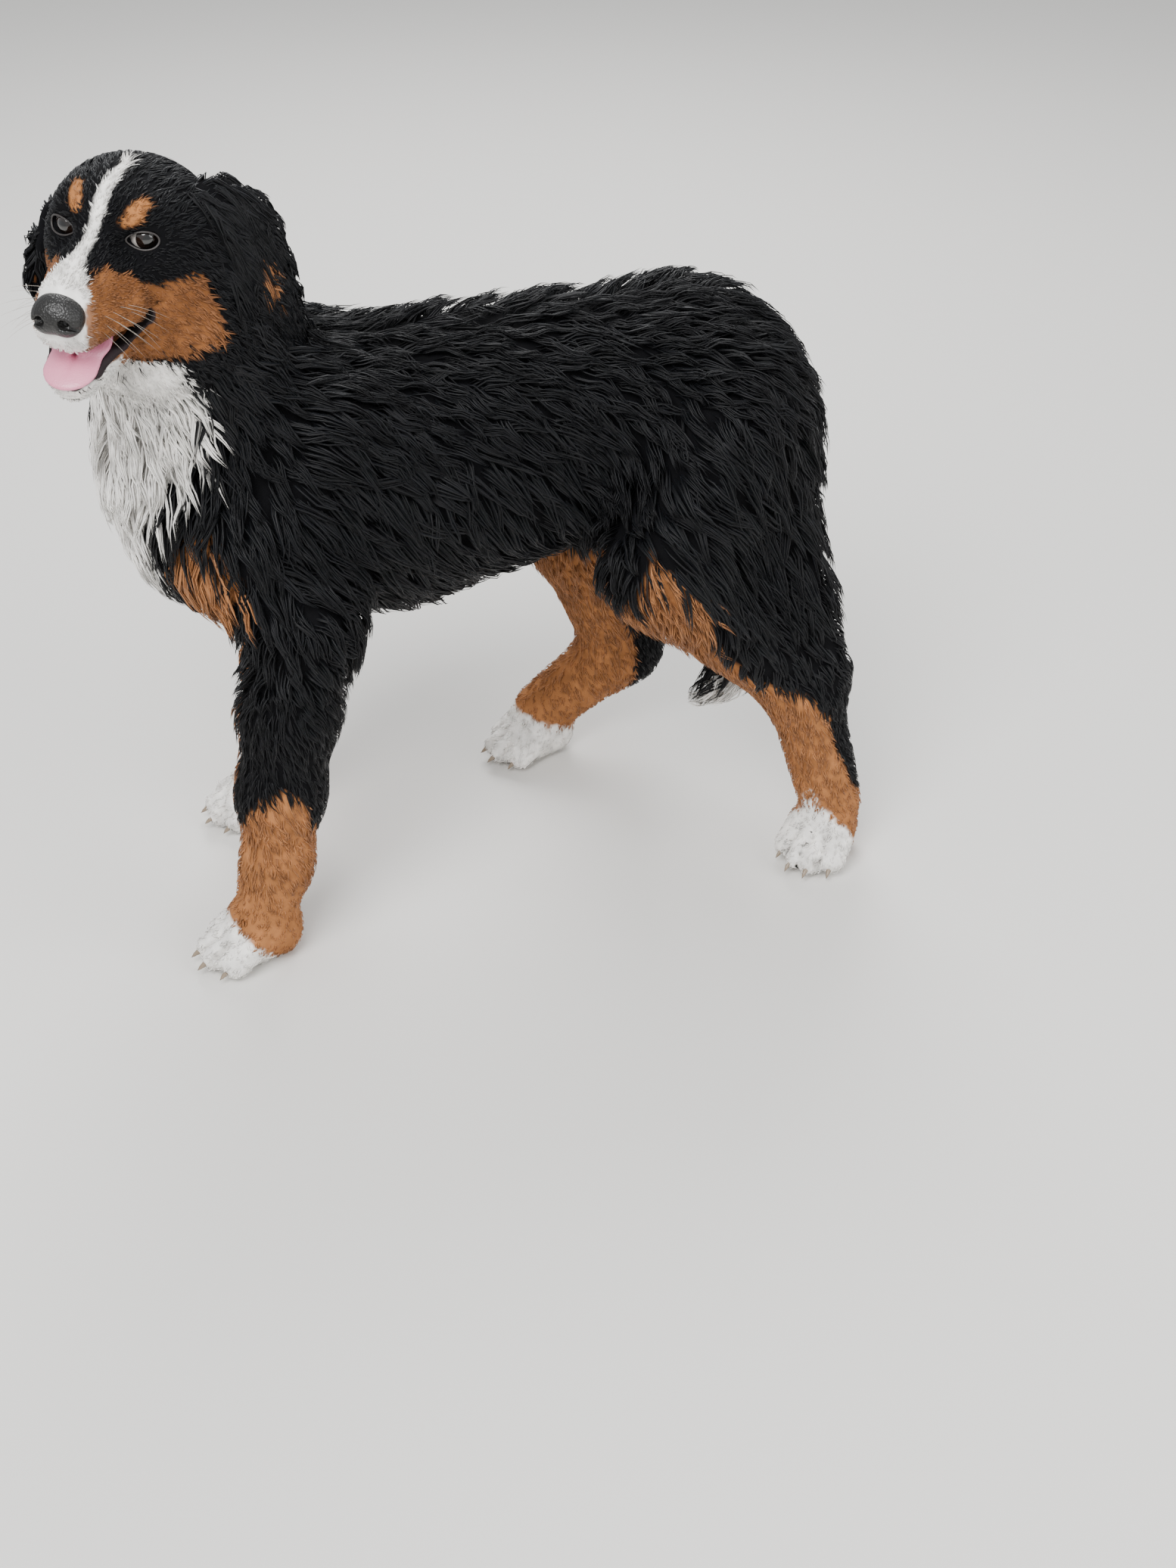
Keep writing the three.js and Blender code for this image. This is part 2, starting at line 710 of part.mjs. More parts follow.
// The rooms of the tail and the ears, that their neighbours are cut clear of.
const headLow = at(-430, -300, 520);
const headHigh = at(-110, 40, 780);
const room = (field, low, high, step, extra, tolerance = 1.1) =>
  sculpt((x, y, z) => field(x, y, z) - extra, low, high, step, tolerance);
const tailBox = [at(180, -70, 70), at(390, 70, 540)];
const TAIL_ROOM = 6;
const tailClear = beyond(
  room(tailField, ...tailBox, 14, TAIL_ROOM, 2),
  tailWay,
  tailBase.clone().addScaledVector(tailWay, -GAP),
);
const EAR_ROOM = 3.5;
const EAR_CLEAR = 8;
const earRoom = (side, extra) => room(earFields[side], headLow, headHigh, 7, extra, 1.6);
const earClear = { left: earRoom("left", EAR_CLEAR), right: earRoom("right", EAR_CLEAR) };
const clearOfEars = (solid) => solid.subtract(earClear.left).subtract(earClear.right);

// How the coat lies: back and down along the flanks, straight down on the chest and thighs.
const flankLie = (p) => at(0.8, 0, -0.35 - 0.5 * smoothstep(-p.z, -WITHERS, -400));
const chestLie = (p) => flankLie(p).lerp(at(0.1, 0, -1), smoothstep(-p.x, 130, 230));
const rumpLie = (p) => flankLie(p).lerp(at(0.35, 0, -1), smoothstep(p.x, 190, 290));
const neckLie = (p) => at(0.45, 0.25, -0.9);
const legLie = () => at(0.35, 0, -0.95);
const earLie = () => at(0.25, 0.1, -1);
const tailLie = (p) => at(-0.75 * smoothstep(-p.z, -260, -150), 0, -1);

const LONG_LOCKS = { spacing: 70, length: 116, width: 74 };
const trunkCuts = {
  chest: (solid) => clearOfEars(inFront(solid, CHEST_BACK)),
  loin: (solid) => inFront(behind(solid, CHEST_BACK), LOIN_BACK),
  rump: (solid) => behind(solid, LOIN_BACK).subtract(tailClear),
};
const trunkCoats = {
  chest: { ...LONG_LOCKS, lie: chestLie },
  loin: { ...LONG_LOCKS, lie: flankLie, sway: 0.45 },
  rump: { ...LONG_LOCKS, lie: rumpLie, sway: 0.45 },
};
const offTheLegs = (solid) => {
  const rest = beyond(solid, neckWay.clone().negate(), neckBase);
  return Object.values(legSockets).reduce(
    (left, [low, high]) => left.subtract(box(low.clone().subScalar(GAP), high.clone().addScalar(GAP))),
    rest,
  );
};
const torso = sculpt(core, at(-340, -180, 250), at(380, 180, 600), BODY_STEP, BODY_TOLERANCE);
Object.entries(trunkCuts).forEach(([name, cut], i) => {
  const clear = (solid) => cut(offTheLegs(solid));
  nodes[name] = clear(growCoat(largest(clear(torso)), core, 711 + i, trunkCoats[name]));
});

const neckCut = (solid) =>
  clearOfEars(beyond(beyond(solid, neckWay, neckBase), headWay.clone().negate(), headBase));
const neckSolid = neckCut(sculpt(core, at(-370, -190, 380), at(-60, 120, 760), BODY_STEP, BODY_TOLERANCE));
nodes.neck = neckCut(
  growCoat(largest(neckSolid), core, 721, { spacing: 70, length: 110, width: 74, lie: neckLie }),
);

// The backs of the upper legs carry feathers of longer hair.
const legCoats = {
  thigh: { spacing: 68, length: 106, width: 70, lie: legLie, grows: (p, out) => out.y * p.y > -20 },
  foreleg: {
    spacing: 42,
    length: 66,
    width: 40,
    thick: 7,
    lie: legLie,
    grows: (p, out) => p.z > 215 && out.x > 0,
  },
  shank: {
    spacing: 40,
    length: 58,
    width: 38,
    thick: 7,
    lie: legLie,
    grows: (p, out) => p.z > 165 && out.x > 0.2,
  },
};
for (const [leg, [low, high]] of Object.entries(legSockets)) {
  const side = leg.split("_")[1];
  const socket = box(low, high);
  const upperHigh = high.clone().addScalar(20);
  const upper = sculpt(core, at(low.x, low.y, 30), upperHigh, LEG_STEP, BODY_TOLERANCE * 0.7);
  const foot = sculpt(core, low, at(high.x, high.y, 100), PAW_STEP, 2);
  let top = high.z;
  legCuts[leg].forEach(([part, bottom = FLOOR - HALF_GAP], i) => {
    const roof = top;
    const cut = (solid) =>
      above(below(solid.intersect(socket), roof + (i === 0 ? HALF_GAP : 0)), bottom).subtract(tailClear);
    const piece = largest(cut(part.endsWith("paw") ? foot : upper));
    const coat = legCoats[part];
    nodes[part + "_" + side] = coat ? cut(growCoat(piece, core, 731 + i, coat)) : piece;
    top = bottom;
  });
}

const tailCut = (solid) => beyond(solid, tailWay, tailBase);
const tailStyle = { spacing: 46, length: 90, width: 48, lie: tailLie };
nodes.tail = tailCut(
  growCoat(largest(tailCut(sculpt(tailCore, ...tailBox, 15, 3.5))), tailCore, 741, tailStyle),
);

// A ball or egg of geometry in the head's frame, its first radius along facing.
const ball = (centre, radii, detail, facing = at(1, 0, 0)) => {
  const level = at(0, 0, 1).cross(facing).normalize();
  const place = new THREE.Matrix4()
    .makeBasis(facing, level, facing.clone().cross(level))
    .scale(radii)
    .setPosition(centre);
  return solidOf(new THREE.SphereGeometry(1, detail, detail / 2), place.premultiply(headFrame));
};
const same = (radius) => at(radius, radius, radius);
let headSolid = beyond(sculpt(core, headLow, headHigh, HEAD_STEP + 1, HEAD_TOLERANCE), headWay, headBase);
headSolid = clearOfEars(headSolid);
for (const field of [tongueField, jawField])
  headSolid = headSolid.subtract(room(field, headLow, headHigh, HEAD_STEP, SOFT_GAP));
headSolid = headSolid.subtract(sculpt((x, y, z) => noseField(x, y, z) - 1.6, headLow, headHigh, 4, 0.7));
for (const side of [1, -1]) {
  const name = side > 0 ? "eye_left" : "eye_right";
  const centre = eyeCentre(side);
  const facing = eyeFacing(side);
  nodes[name] = ball(centre, same(EYE_RADIUS), 14, facing);
  headSolid = headSolid
    .subtract(ball(centre, same(EYE_RADIUS + GAP), 14, facing))
    .subtract(ball(centre.clone().addScaledVector(facing, 10), at(8, 9.8, 7), 14, facing));
}
nodes.head = headSolid;

const small = (field) => sculpt(field, headLow, headHigh, HEAD_STEP, 1.6);
nodes.tongue = small(tongueField);
nodes.jaw = small(jawField).subtract(room(tongueField, headLow, headHigh, HEAD_STEP, 3));
nodes.nose = [1, -1].reduce(
  (solid, side) => solid.subtract(ball(at(88, side * 9, -34), at(7, 3.6, 3.2), 8)),
  sculpt(noseField, headLow, headHigh, 4, 0.9),
);

const EAR_SEEDS = { left: 761, right: 750 };
// Each ear: a soft flap with locks over its outside, hollow like a cup on the side of the head.
for (const [side, sign] of [["left", 1], ["right", -1]]) {
  const outside = at(0, sign, 0).transformDirection(headFrame);
  const flap = small(earCores[side]);
  const coated = growCoat(flap, earCores[side], EAR_SEEDS[side], {
    spacing: 46,
    length: 68,
    width: 50,
    thick: 5,
    lift: 4,
    lie: earLie,
    grows: (p, out) => out.dot(outside) > 0.1,
  });
  nodes["ear_" + side] = coated.intersect(earRoom(side, EAR_ROOM));
}

// Base colours by node: white paws and tail tip, rust pasterns and hocks, black elsewhere.
const COLOURS = {
  black: [0x17171a, 0.85],
  rust: [0x9c5a2c, 0.85],
  white: [0xece8e0, 0.9],
  leather: [0x1d1c1f, 0.45],
  flesh: [0xd98c9a, 0.5],
  eye: [0x1c110b, 0.12],
};
const NODE_COLOURS = [
  [/paw|tail_tip/, COLOURS.white],
  [/pastern|hock/, COLOURS.rust],
  [/nose/, COLOURS.leather],
  [/tongue/, COLOURS.flesh],
  [/eye/, COLOURS.eye],
];
const colourOf = (name) => (NODE_COLOURS.find(([names]) => names.test(name)) ?? [null, COLOURS.black])[1];

const dog = new THREE.Group();
for (const [name, solid] of Object.entries(nodes)) {
  const geometry = geometryOf(tidy(solid));
  geometry.computeVertexNormals();
  const [color, roughness] = colourOf(name);
  const mesh = new THREE.Mesh(
    geometry,
    new THREE.MeshStandardMaterial({ color, roughness, metalness: 0 }),
  );
  mesh.name = name;
  dog.add(mesh);
}

// The origin lies on the floor, under the middle of the animal.
const extent = new THREE.Box3().setFromObject(dog);
const middle = extent.getCenter(new THREE.Vector3());
dog.position.set(-middle.x, -middle.y, -extent.min.z);
dog.updateMatrixWorld(true);

export default dog;
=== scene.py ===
"""The looks of a still, life-size young Bernese mountain dog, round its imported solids.

Shapes are worked out in millimetres in the animal's own design frame, with the nose end at -X,
the dog's left side at -Y and the paws on Z = 0. MODEL_SHIFT then moves them onto the solids.
"""
import math

import bmesh
import bpy
import numpy as np
from mathutils import Matrix, Vector


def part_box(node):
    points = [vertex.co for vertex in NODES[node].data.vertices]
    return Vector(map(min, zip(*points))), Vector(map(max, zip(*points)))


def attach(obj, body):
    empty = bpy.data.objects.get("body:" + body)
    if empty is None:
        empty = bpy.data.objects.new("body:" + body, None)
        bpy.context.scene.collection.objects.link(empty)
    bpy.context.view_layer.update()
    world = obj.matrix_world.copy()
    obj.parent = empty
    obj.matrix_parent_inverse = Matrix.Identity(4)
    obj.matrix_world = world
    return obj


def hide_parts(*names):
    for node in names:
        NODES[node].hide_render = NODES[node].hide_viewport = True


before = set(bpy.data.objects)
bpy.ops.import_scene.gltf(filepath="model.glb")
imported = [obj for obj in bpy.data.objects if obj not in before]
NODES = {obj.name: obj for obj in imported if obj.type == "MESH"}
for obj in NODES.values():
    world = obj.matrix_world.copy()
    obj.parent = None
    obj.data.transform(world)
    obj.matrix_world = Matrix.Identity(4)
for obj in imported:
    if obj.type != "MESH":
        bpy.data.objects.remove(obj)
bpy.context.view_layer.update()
MM = 0.001


def vec(*numbers):
    return np.array(numbers, float)


def unit(v):
    v = np.asarray(v, float)
    return v / np.maximum(np.linalg.norm(v, axis=-1, keepdims=True), 1e-9)


def smooth(x, low, high):
    """0 below low, 1 above high, with a soft change between them."""
    t = np.clip((x - low) / (high - low), 0, 1)
    return t * t * (3 - 2 * t)


# Distance fields: functions of points (N, 3) in millimetres, below 0 inside the body.


def limb(a, b, ra, rb, flat=1.0, axis=None):
    """A limb with round ends: radius ra at a and rb at b, flat times thinner along axis."""
    along = b - a
    squared = max(along @ along, 1e-9)

    def field(p):
        q = p - a
        t = np.clip(q @ along / squared, 0, 1)
        off = q - t[:, None] * along
        if axis is not None:
            off = off + ((off @ axis) * (flat - 1))[:, None] * axis
        far = np.sqrt(np.einsum("ij,ij->i", off, off))
        return (far - (ra + t * (rb - ra))) / (math.sqrt(flat) if axis is not None else 1)

    return field


def egg(centre, radii, pitch=0.0):
    """An ellipsoid with its own radius along each axis, nodding by pitch degrees about Y."""
    c, s = math.cos(math.radians(pitch)), math.sin(math.radians(pitch))
    turn = np.array([[c, 0, s], [0, 1, 0], [-s, 0, c]])
    radii = np.asarray(radii, float)

    def field(p):
        e = (p - centre) @ turn.T / radii
        near = np.sqrt(np.einsum("ij,ij->i", e, e))
        slope = np.sqrt(np.einsum("ij,ij->i", e / radii, e / radii))
        return near * (near - 1) / np.maximum(slope, 1e-9)

    return field


def melt(soft, fields):
    """Several fields run together, with each seam rounded over about soft."""

    def field(p):
        nearest = fields[0](p)
        for other in fields[1:]:
            value = other(p)
            share = np.maximum(soft - np.abs(nearest - value), 0) / soft
            nearest = np.minimum(nearest, value) - share * share * soft * 0.25
        return nearest

    return field


def press(field, soft, hollows):
    """A field with hollows pressed into it."""
    filled = melt(soft, [lambda p: -field(p), *hollows])
    return lambda p: -filled(p)


def slope_of(field, p, e=1.5):
    steps = np.eye(3) * e
    return np.stack([field(p + s) - field(p - s) for s in steps], axis=1) / (2 * e)


LONGEST_MOVE = 30


def settled(field, p, height):
    """Points moved along the field's slope to a height over its surface."""
    out = slope_of(field, p)
    reach = (height - field(p)) / np.maximum(np.einsum("ij,ij->i", out, out), 0.25)
    return p + out * np.clip(reach, -LONGEST_MOVE, LONGEST_MOVE)[:, None]


# The trunk, neck, legs and tail, with the sizes that the solids have.
WITHERS = 540
CHEST_HALF = 110
SIDES = (-1, 1)

trunk = melt(45, [
    egg(vec(-78, 0, 412), vec(178, CHEST_HALF, 114)),
    limb(vec(-115, 0, WITHERS - 77), vec(70, 0, WITHERS - 66), 72, 64),
    limb(vec(20, 0, 440), vec(190, 0, 452), 84, 84),
    egg(vec(20, 0, 388), vec(150, 88, 64), -4),
    egg(vec(195, 0, WITHERS - 92), vec(112, 94, 84)),
    egg(vec(-222, 0, 415), vec(76, 80, 86)),
    egg(vec(-248, -16, 478), vec(58, 62, 86)),
    limb(vec(-218, 0, 368), vec(-60, 0, 346), 54, 54),
    *[limb(vec(-205, s * 70, 395), vec(-130, s * 66, 478), 50, 46) for s in SIDES],
    *[egg(vec(246, s * 52, 400), vec(58, 48, 84), 12) for s in SIDES],
])
NECK_MID = vec(-236, -50, 582)
neck = melt(30, [
    limb(vec(-178, -4, 464), NECK_MID, 98, 74),
    limb(NECK_MID, vec(-250, -72, 640), 74, 62),
])


# From the shoulder down to the ankle of a foreleg, with the radii at the ends of each stretch.
FORELEG_LINE = [
    (-205, 80, 392), (-166, 97, 328), (-186, 103, 250), (-201, 105, 168), (-210, 106, 98),
    (-226, 107, 46),
]
FORELEG_RADII = [(48, 48), (47, 40), (40, 35), (35, 28), (28, 30)]


def foreleg(side, back):
    """The ankle and the shape of a foreleg that stands back millimetres behind the near one."""
    joints = [vec(x + back, side * y, z) for x, y, z in FORELEG_LINE]
    pairs = zip(joints, joints[1:], FORELEG_RADII)
    return joints[-1], melt(24, [limb(a, b, ra, rb) for a, b, (ra, rb) in pairs])


def hindleg(side, stifle, hock, heel, ankle):
    """The ankle and the shape of a hind leg through its joints, with the cord to its heel."""
    return ankle, melt(26, [
        limb(vec(216, side * 64, 436), stifle, 78, 58),
        limb(stifle, hock, 56, 33),
        limb(vec(246, side * 82, 372), heel, 50, 21),
        limb(hock, ankle, 34, 30),
    ])


def paw(ankle, heading, length, width):
    """A paw of four toes over one pad, each toe's tip and the way it points, and the toe gaps."""
    turn = math.radians(heading)

    def place(ahead, across, up):
        x = ankle[0] - ahead * math.cos(turn) - across * math.sin(turn)
        y = ankle[1] - ahead * math.sin(turn) + across * math.cos(turn)
        return vec(x, y, up)

    toes, tips = [], []
    for i, spread in enumerate((-0.36, -0.13, 0.13, 0.36)):
        reach = length * (0.64 if i in (1, 2) else 0.5)
        knuckle = place(length * 0.16, spread * 0.8 * width, 30)
        tip = place(reach - 13, spread * width, 15)
        toes.append(limb(knuckle, tip, 17, 14))
        tips.append((tip, unit(tip - knuckle)))
    pad = limb(place(-6, 0, 24), place(0.14 * length, 0, 24), 27, 30)
    across = vec(-math.sin(turn), math.cos(turn), 0)
    gaps = []
    for between in (-0.245, 0, 0.245):
        top = place(length * 0.22, between * 0.8 * width, 46)
        foot = place(length * 0.64, between * width, 6)
        gaps.append(limb(top, foot, 4, 10, 3.4, across))
    return melt(6, [pad, *toes]), tips, melt(1, gaps)


LEGS = {
    "fore_left": foreleg(-1, 0),
    "fore_right": foreleg(1, 42),
    "hind_left": hindleg(
        -1, vec(150, -104, 335), vec(282, -116, 190), vec(302, -116, 206), vec(318, -120, 56),
    ),
    "hind_right": hindleg(
        1, vec(142, 98, 276), vec(184, 112, 118), vec(204, 112, 128), vec(106, 128, 50),
    ),
}
# The heading of each paw in degrees from -X, its length and its width.
PAW_SHAPES = {
    "fore_left": (6, 100, 70),
    "fore_right": (2, 100, 70),
    "hind_left": (38, 96, 66),
    "hind_right": (6, 96, 66),
}
PAWS = {name: paw(LEGS[name][0], *shape) for name, shape in PAW_SHAPES.items()}

# Points down the middle of the tail, with its radius in the coat.
TAIL_LINE = [
    (vec(268, 0, 470), 32),
    (vec(298, 0, 425), 31),
    (vec(304, 1, 350), 32),
    (vec(302, 0, 275), 32),
    (vec(284, -2, 200), 29),
    (vec(258, -4, 146), 23),
    (vec(226, -5, 126), 8),
]
tail = melt(20, [limb(a, b, ra, rb) for (a, ra), (b, rb) in zip(TAIL_LINE, TAIL_LINE[1:])])

# The head's own frame: X along the muzzle, Y to the dog's left, Z up, from between the eyes.
HEAD_TURN, HEAD_NOD, HEAD_TILT = (math.radians(a) for a in (58.2, -1.6, -5.6))
HEAD_ORIGIN = vec(-283, -120, 678)
muzzle_way = vec(
    -math.cos(HEAD_TURN) * math.cos(HEAD_NOD),
    -math.sin(HEAD_TURN) * math.cos(HEAD_NOD),
    math.sin(HEAD_NOD),
)
level = vec(math.sin(HEAD_TURN), -math.cos(HEAD_TURN), 0)
upright = np.cross(muzzle_way, level)
head_left = level * math.cos(HEAD_TILT) + upright * math.sin(HEAD_TILT)
head_up = upright * math.cos(HEAD_TILT) - level * math.sin(HEAD_TILT)
HEAD_AXES = np.array([muzzle_way, head_left, head_up])


def to_head(p):
    """Points of the design in the head's own frame."""
    return (p - HEAD_ORIGIN) @ HEAD_AXES.T


def from_head(p):
    return np.asarray(p, float) @ HEAD_AXES + HEAD_ORIGIN


def on_head(field):
    return lambda p: field(to_head(p))


EYE_RADIUS = 11.5
LID_RADIUS = 13.6


def eye_centre(side):
    return vec(-9, side * 27, -2)


def eye_facing(side):
    return unit(vec(0.9, side * 0.4, 0.05))


def both(shapes):
    return [shape for side in SIDES for shape in shapes(side)]


skull_mass = melt(13, [
    egg(vec(-46, 0, -3), vec(58, 53, 38)),
    egg(vec(-20, 0, 6), vec(34, 38, 26)),
    limb(vec(0, 0, -14), vec(62, 0, -27), 24, 15, 0.85, vec(0, 1, 0)),
    limb(vec(6, 0, -30), vec(62, 0, -38), 31, 22),
    *both(lambda s: [
        egg(vec(-12, s * 22, 12), vec(15, 15, 11)),
        egg(vec(-18, s * 30, -18), vec(30, 15, 22)),
        egg(vec(-42, s * 38, -32), vec(36, 21, 38)),
        limb(vec(64, s * 9, -48), vec(22, s * 26, -43), 12, 13),
        limb(vec(-50, s * 26, -56), vec(-8, s * 22, -66), 22, 18),
    ]),
])
orbits = both(lambda s: [egg(vec(15, s * 31, -3), vec(13, 14, 11))])
lids = both(lambda s: [egg(eye_centre(s) + eye_facing(s), vec(1, 1, 1) * LID_RADIUS)])
skull = on_head(melt(5, [press(skull_mass, 9, orbits), *lids]))
LIP_LINE = [((9, 34, -55), 6), ((34, 25, -67), 5.5), ((58, 17, -77), 4.5), ((76, 7, -83), 4)]
lower_lip = melt(4, both(lambda s: [
    limb(vec(a[0], s * a[1], a[2]), vec(b[0], s * b[1], b[2]), ra, rb)
    for (a, ra), (b, rb) in zip(LIP_LINE, LIP_LINE[1:])
]))
jaw = on_head(melt(8, [
    *both(lambda s: [limb(vec(-6, s * 16, -72), vec(62, s * 8, -87), 14, 10.5)]),
    limb(vec(0, 0, -76), vec(66, 0, -89), 14, 11.5),
    lower_lip,
]))
tongue = on_head(melt(6, [
    limb(vec(4, 0, -60), vec(44, 0, -66), 15, 18, 4, vec(0, 0, 1)),
    limb(vec(44, 0, -66), vec(66, 1, -76), 18, 19.5, 4.5, vec(0.4, 0, 0.92)),
]))
nose = on_head(melt(6, [
    egg(vec(74, 0, -31), vec(15, 18, 14)),
    egg(vec(79, 8, -35), vec(9, 9, 9)),
    egg(vec(79, -8, -35), vec(9, 9, 9)),
]))

# Each ear is a flat lobe: the way its flat side faces, and points down it with their radii.
EAR_FLAT = 4.4
EAR_LINES = {
    1: (vec(0.2, 0.95, 0.24), [
        ((-56, 44, 14), 14), ((-70, 57, -4), 27), ((-85, 71, -33), 42),
        ((-98, 81, -66), 37), ((-111, 90, -92), 23), ((-119, 95, -105), 12),
    ]),
    -1: (vec(0, -0.98, -0.18), [
        ((-60, -40, 2), 12), ((-64, -52, -20), 17), ((-62, -67, -40), 31),
        ((-62, -77, -62), 30), ((-64, -81, -84), 15),
    ]),
}


def ear(side):
    facing, line = EAR_LINES[side]
    stretches = zip(line, line[1:])
    return on_head(melt(10, [
        limb(vec(*a), vec(*b), ra, rb, EAR_FLAT, facing) for (a, ra), (b, rb) in stretches
    ]))


ears = {side: ear(side) for side in SIDES}

body = melt(30, [trunk, neck, *[field for _, field in LEGS.values()]])
feet = melt(14, [body, *[field for field, _, _ in PAWS.values()]])
toe_gaps = melt(1, [gaps for _, _, gaps in PAWS.values()])
whole = melt(24, [feet, skull])

# The coat's depth over the skin: long on the trunk, short on the face and the lower legs.
FACE_CENTRE = from_head(vec(12, 0, -25))
LONG_DEPTH = 11
SHORT_DEPTH = 1.8
EAR_DEPTH = 2.2


def away_from_face(p):
    return np.linalg.norm(p - FACE_CENTRE, axis=1)


def long_coat(p):
    return smooth(p[:, 2], 210, 335) * smooth(away_from_face(p), 96, 132)


def coat_depth(p):
    return SHORT_DEPTH + (LONG_DEPTH - SHORT_DEPTH) * long_coat(p)


TAIL_DEPTH = 14
TAIL_TIP_DEPTH = 6
SOLE = 0.6  # the height of the flats under the paws


def tail_skin(p):
    """The bare tail, whose coat is thinner at the tip."""
    at_tip = smooth(-p[:, 2], -140, -120)
    return tail(p) + TAIL_DEPTH - (TAIL_DEPTH - TAIL_TIP_DEPTH) * at_tip


# The gap between the lips, from the corner of the mouth to the tongue.
GAP_LINE = [((8, 45, -48), 6), ((18, 40, -55), 7), ((34, 30, -61), 8), ((56, 22, -66), 9)]
mouth_gap = on_head(melt(3, both(lambda s: [
    limb(vec(a[0], s * a[1], a[2]), vec(b[0], s * b[1], b[2]), ra, rb, 3.2, unit(vec(0.35, 0, 0.94)))
    for (a, ra), (b, rb) in zip(GAP_LINE, GAP_LINE[1:])
])))


def skin(p):
    """The skin under the coat, from the nose to the tip of the tail."""
    face = melt(5, [lambda q: whole(q) + coat_depth(q), lambda q: jaw(q) + SHORT_DEPTH])
    head_part = press(face, 1.5, [mouth_gap])
    parts = [head_part, tail_skin, *[lambda q, s=s: ears[s](q) + EAR_DEPTH for s in SIDES]]
    animal = melt(6, parts)
    return np.maximum(press(animal, 2.5, [toe_gaps])(p), SOLE - p[:, 2])


# Meshes from fields.


def nets(values, low, step):
    """The surface where a grid of values crosses 0, as one vertex a cell and quads between."""
    inside = values < 0
    size = np.array(values.shape) - 1
    corners = [(i, j, k) for i in (0, 1) for j in (0, 1) for k in (0, 1)]
    count = sum(
        inside[i:i + size[0], j:j + size[1], k:k + size[2]].astype(np.int8) for i, j, k in corners
    )
    cells = np.argwhere((count > 0) & (count < 8))
    at_corner = {
        c: values[cells[:, 0] + c[0], cells[:, 1] + c[1], cells[:, 2] + c[2]] for c in corners
    }
    total = np.zeros((len(cells), 3))
    hits = np.zeros(len(cells))
    for a in corners:
        for axis in range(3):
            if a[axis]:
                continue
            b = tuple(1 if k == axis else v for k, v in enumerate(a))
            va, vb = at_corner[a], at_corner[b]
            cross = (va < 0) != (vb < 0)
            t = np.where(cross, va / np.where(cross, va - vb, 1), 0)
            point = np.tile(np.array(a, float), (len(cells), 1))
            point[:, axis] += t
            total += point * cross[:, None]
            hits += cross
    points = low + (cells + total / hits[:, None]) * step
    index = np.full(size, -1, np.int64)
    index[tuple(cells.T)] = np.arange(len(cells))
    quads = []
    for axis in range(3):
        u, v = (axis + 1) % 3, (axis + 2) % 3
        lower = [slice(0, n) for n in size]
        upper = list(lower)
        lower[axis] = slice(0, size[axis])
        upper[axis] = slice(1, size[axis] + 1)
        first, second = inside[tuple(lower)], inside[tuple(upper)]
        edges = np.argwhere(first != second)
        edges = edges[(edges[:, u] > 0) & (edges[:, v] > 0)]
        outward = first[tuple(edges.T)]
        du, dv = np.eye(3, dtype=int)[u], np.eye(3, dtype=int)[v]
        ring = [edges - du - dv, edges - dv, edges, edges - du]
        quad = np.stack([index[tuple(r.T)] for r in ring], axis=1)
        quads.append(np.where(outward[:, None], quad, quad[:, ::-1]))
    return points, np.concatenate(quads)


BLOCK = 4  # cells along the side of a block


def sculpt(field, low, high, step):
    """The surface of a field in a box. Only blocks of cells near the surface are worked out."""
    blocks = np.ceil((np.asarray(high, float) - low) / (step * BLOCK)).astype(int)
    wide = step * BLOCK
    grid = np.stack(np.meshgrid(*[np.arange(n) for n in blocks], indexing="ij"), axis=-1)
    middle = low + (grid.reshape(-1, 3) + 0.5) * wide
    rough = field(middle).reshape(blocks)
    near = np.abs(rough) < wide * 1.8
    values = np.repeat(np.repeat(np.repeat(rough, BLOCK, 0), BLOCK, 1), BLOCK, 2)
    fine = np.repeat(np.repeat(np.repeat(near, BLOCK, 0), BLOCK, 1), BLOCK, 2)
    spots = np.argwhere(fine)
    for chunk in np.array_split(spots, max(1, len(spots) // 400000)):
        values[tuple(chunk.T)] = field(low + chunk * step)
    points, quads = nets(values, low, step)
    out = slope_of(field, points, 0.4)
    points -= out * (field(points) / np.maximum(np.einsum("ij,ij->i", out, out), 0.3))[:, None] * 0.8
    return points, quads


# Placing the design on the solids: the middle of the two eyes is the same in both.
eye_middle = sum((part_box(n)[0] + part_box(n)[1] for n in ("eye_left", "eye_right")), Vector()) / 4
MODEL_SHIFT = from_head(eye_centre(1) / 2 + eye_centre(-1) / 2) * MM - np.array(eye_middle)


def to_model(p):
    """Points of the design, in millimetres, as places on the model in metres."""
    return np.asarray(p, float) * MM - MODEL_SHIFT


def mesh_object(name, points, faces):
    """A mesh object from points in the design frame. Faces all have the same number of corners."""
    mesh = bpy.data.meshes.new(name)
    sides = faces.shape[1]
    mesh.vertices.add(len(points))
    mesh.vertices.foreach_set("co", to_model(points).astype(np.float32).ravel())
    mesh.loops.add(faces.size)
    mesh.loops.foreach_set("vertex_index", faces.astype(np.int32).ravel())
    mesh.polygons.add(len(faces))
    mesh.polygons.foreach_set("loop_start", np.arange(0, faces.size, sides, dtype=np.int32))
    mesh.polygons.foreach_set("use_smooth", np.ones(len(faces), bool))
    mesh.update(calc_edges=True)
    obj = bpy.data.objects.new(name, mesh)
    bpy.context.scene.collection.objects.link(obj)
    return obj


def add_values(obj, name, values, kind="FLOAT"):
    """Values for each vertex of an object, kept in an attribute."""
    attribute = obj.data.attributes.new(name, kind, "POINT")
    field = {"FLOAT": "value", "FLOAT_VECTOR": "vector", "FLOAT_COLOR": "color"}[kind]
    attribute.data.foreach_set(field, np.asarray(values, np.float32).ravel())
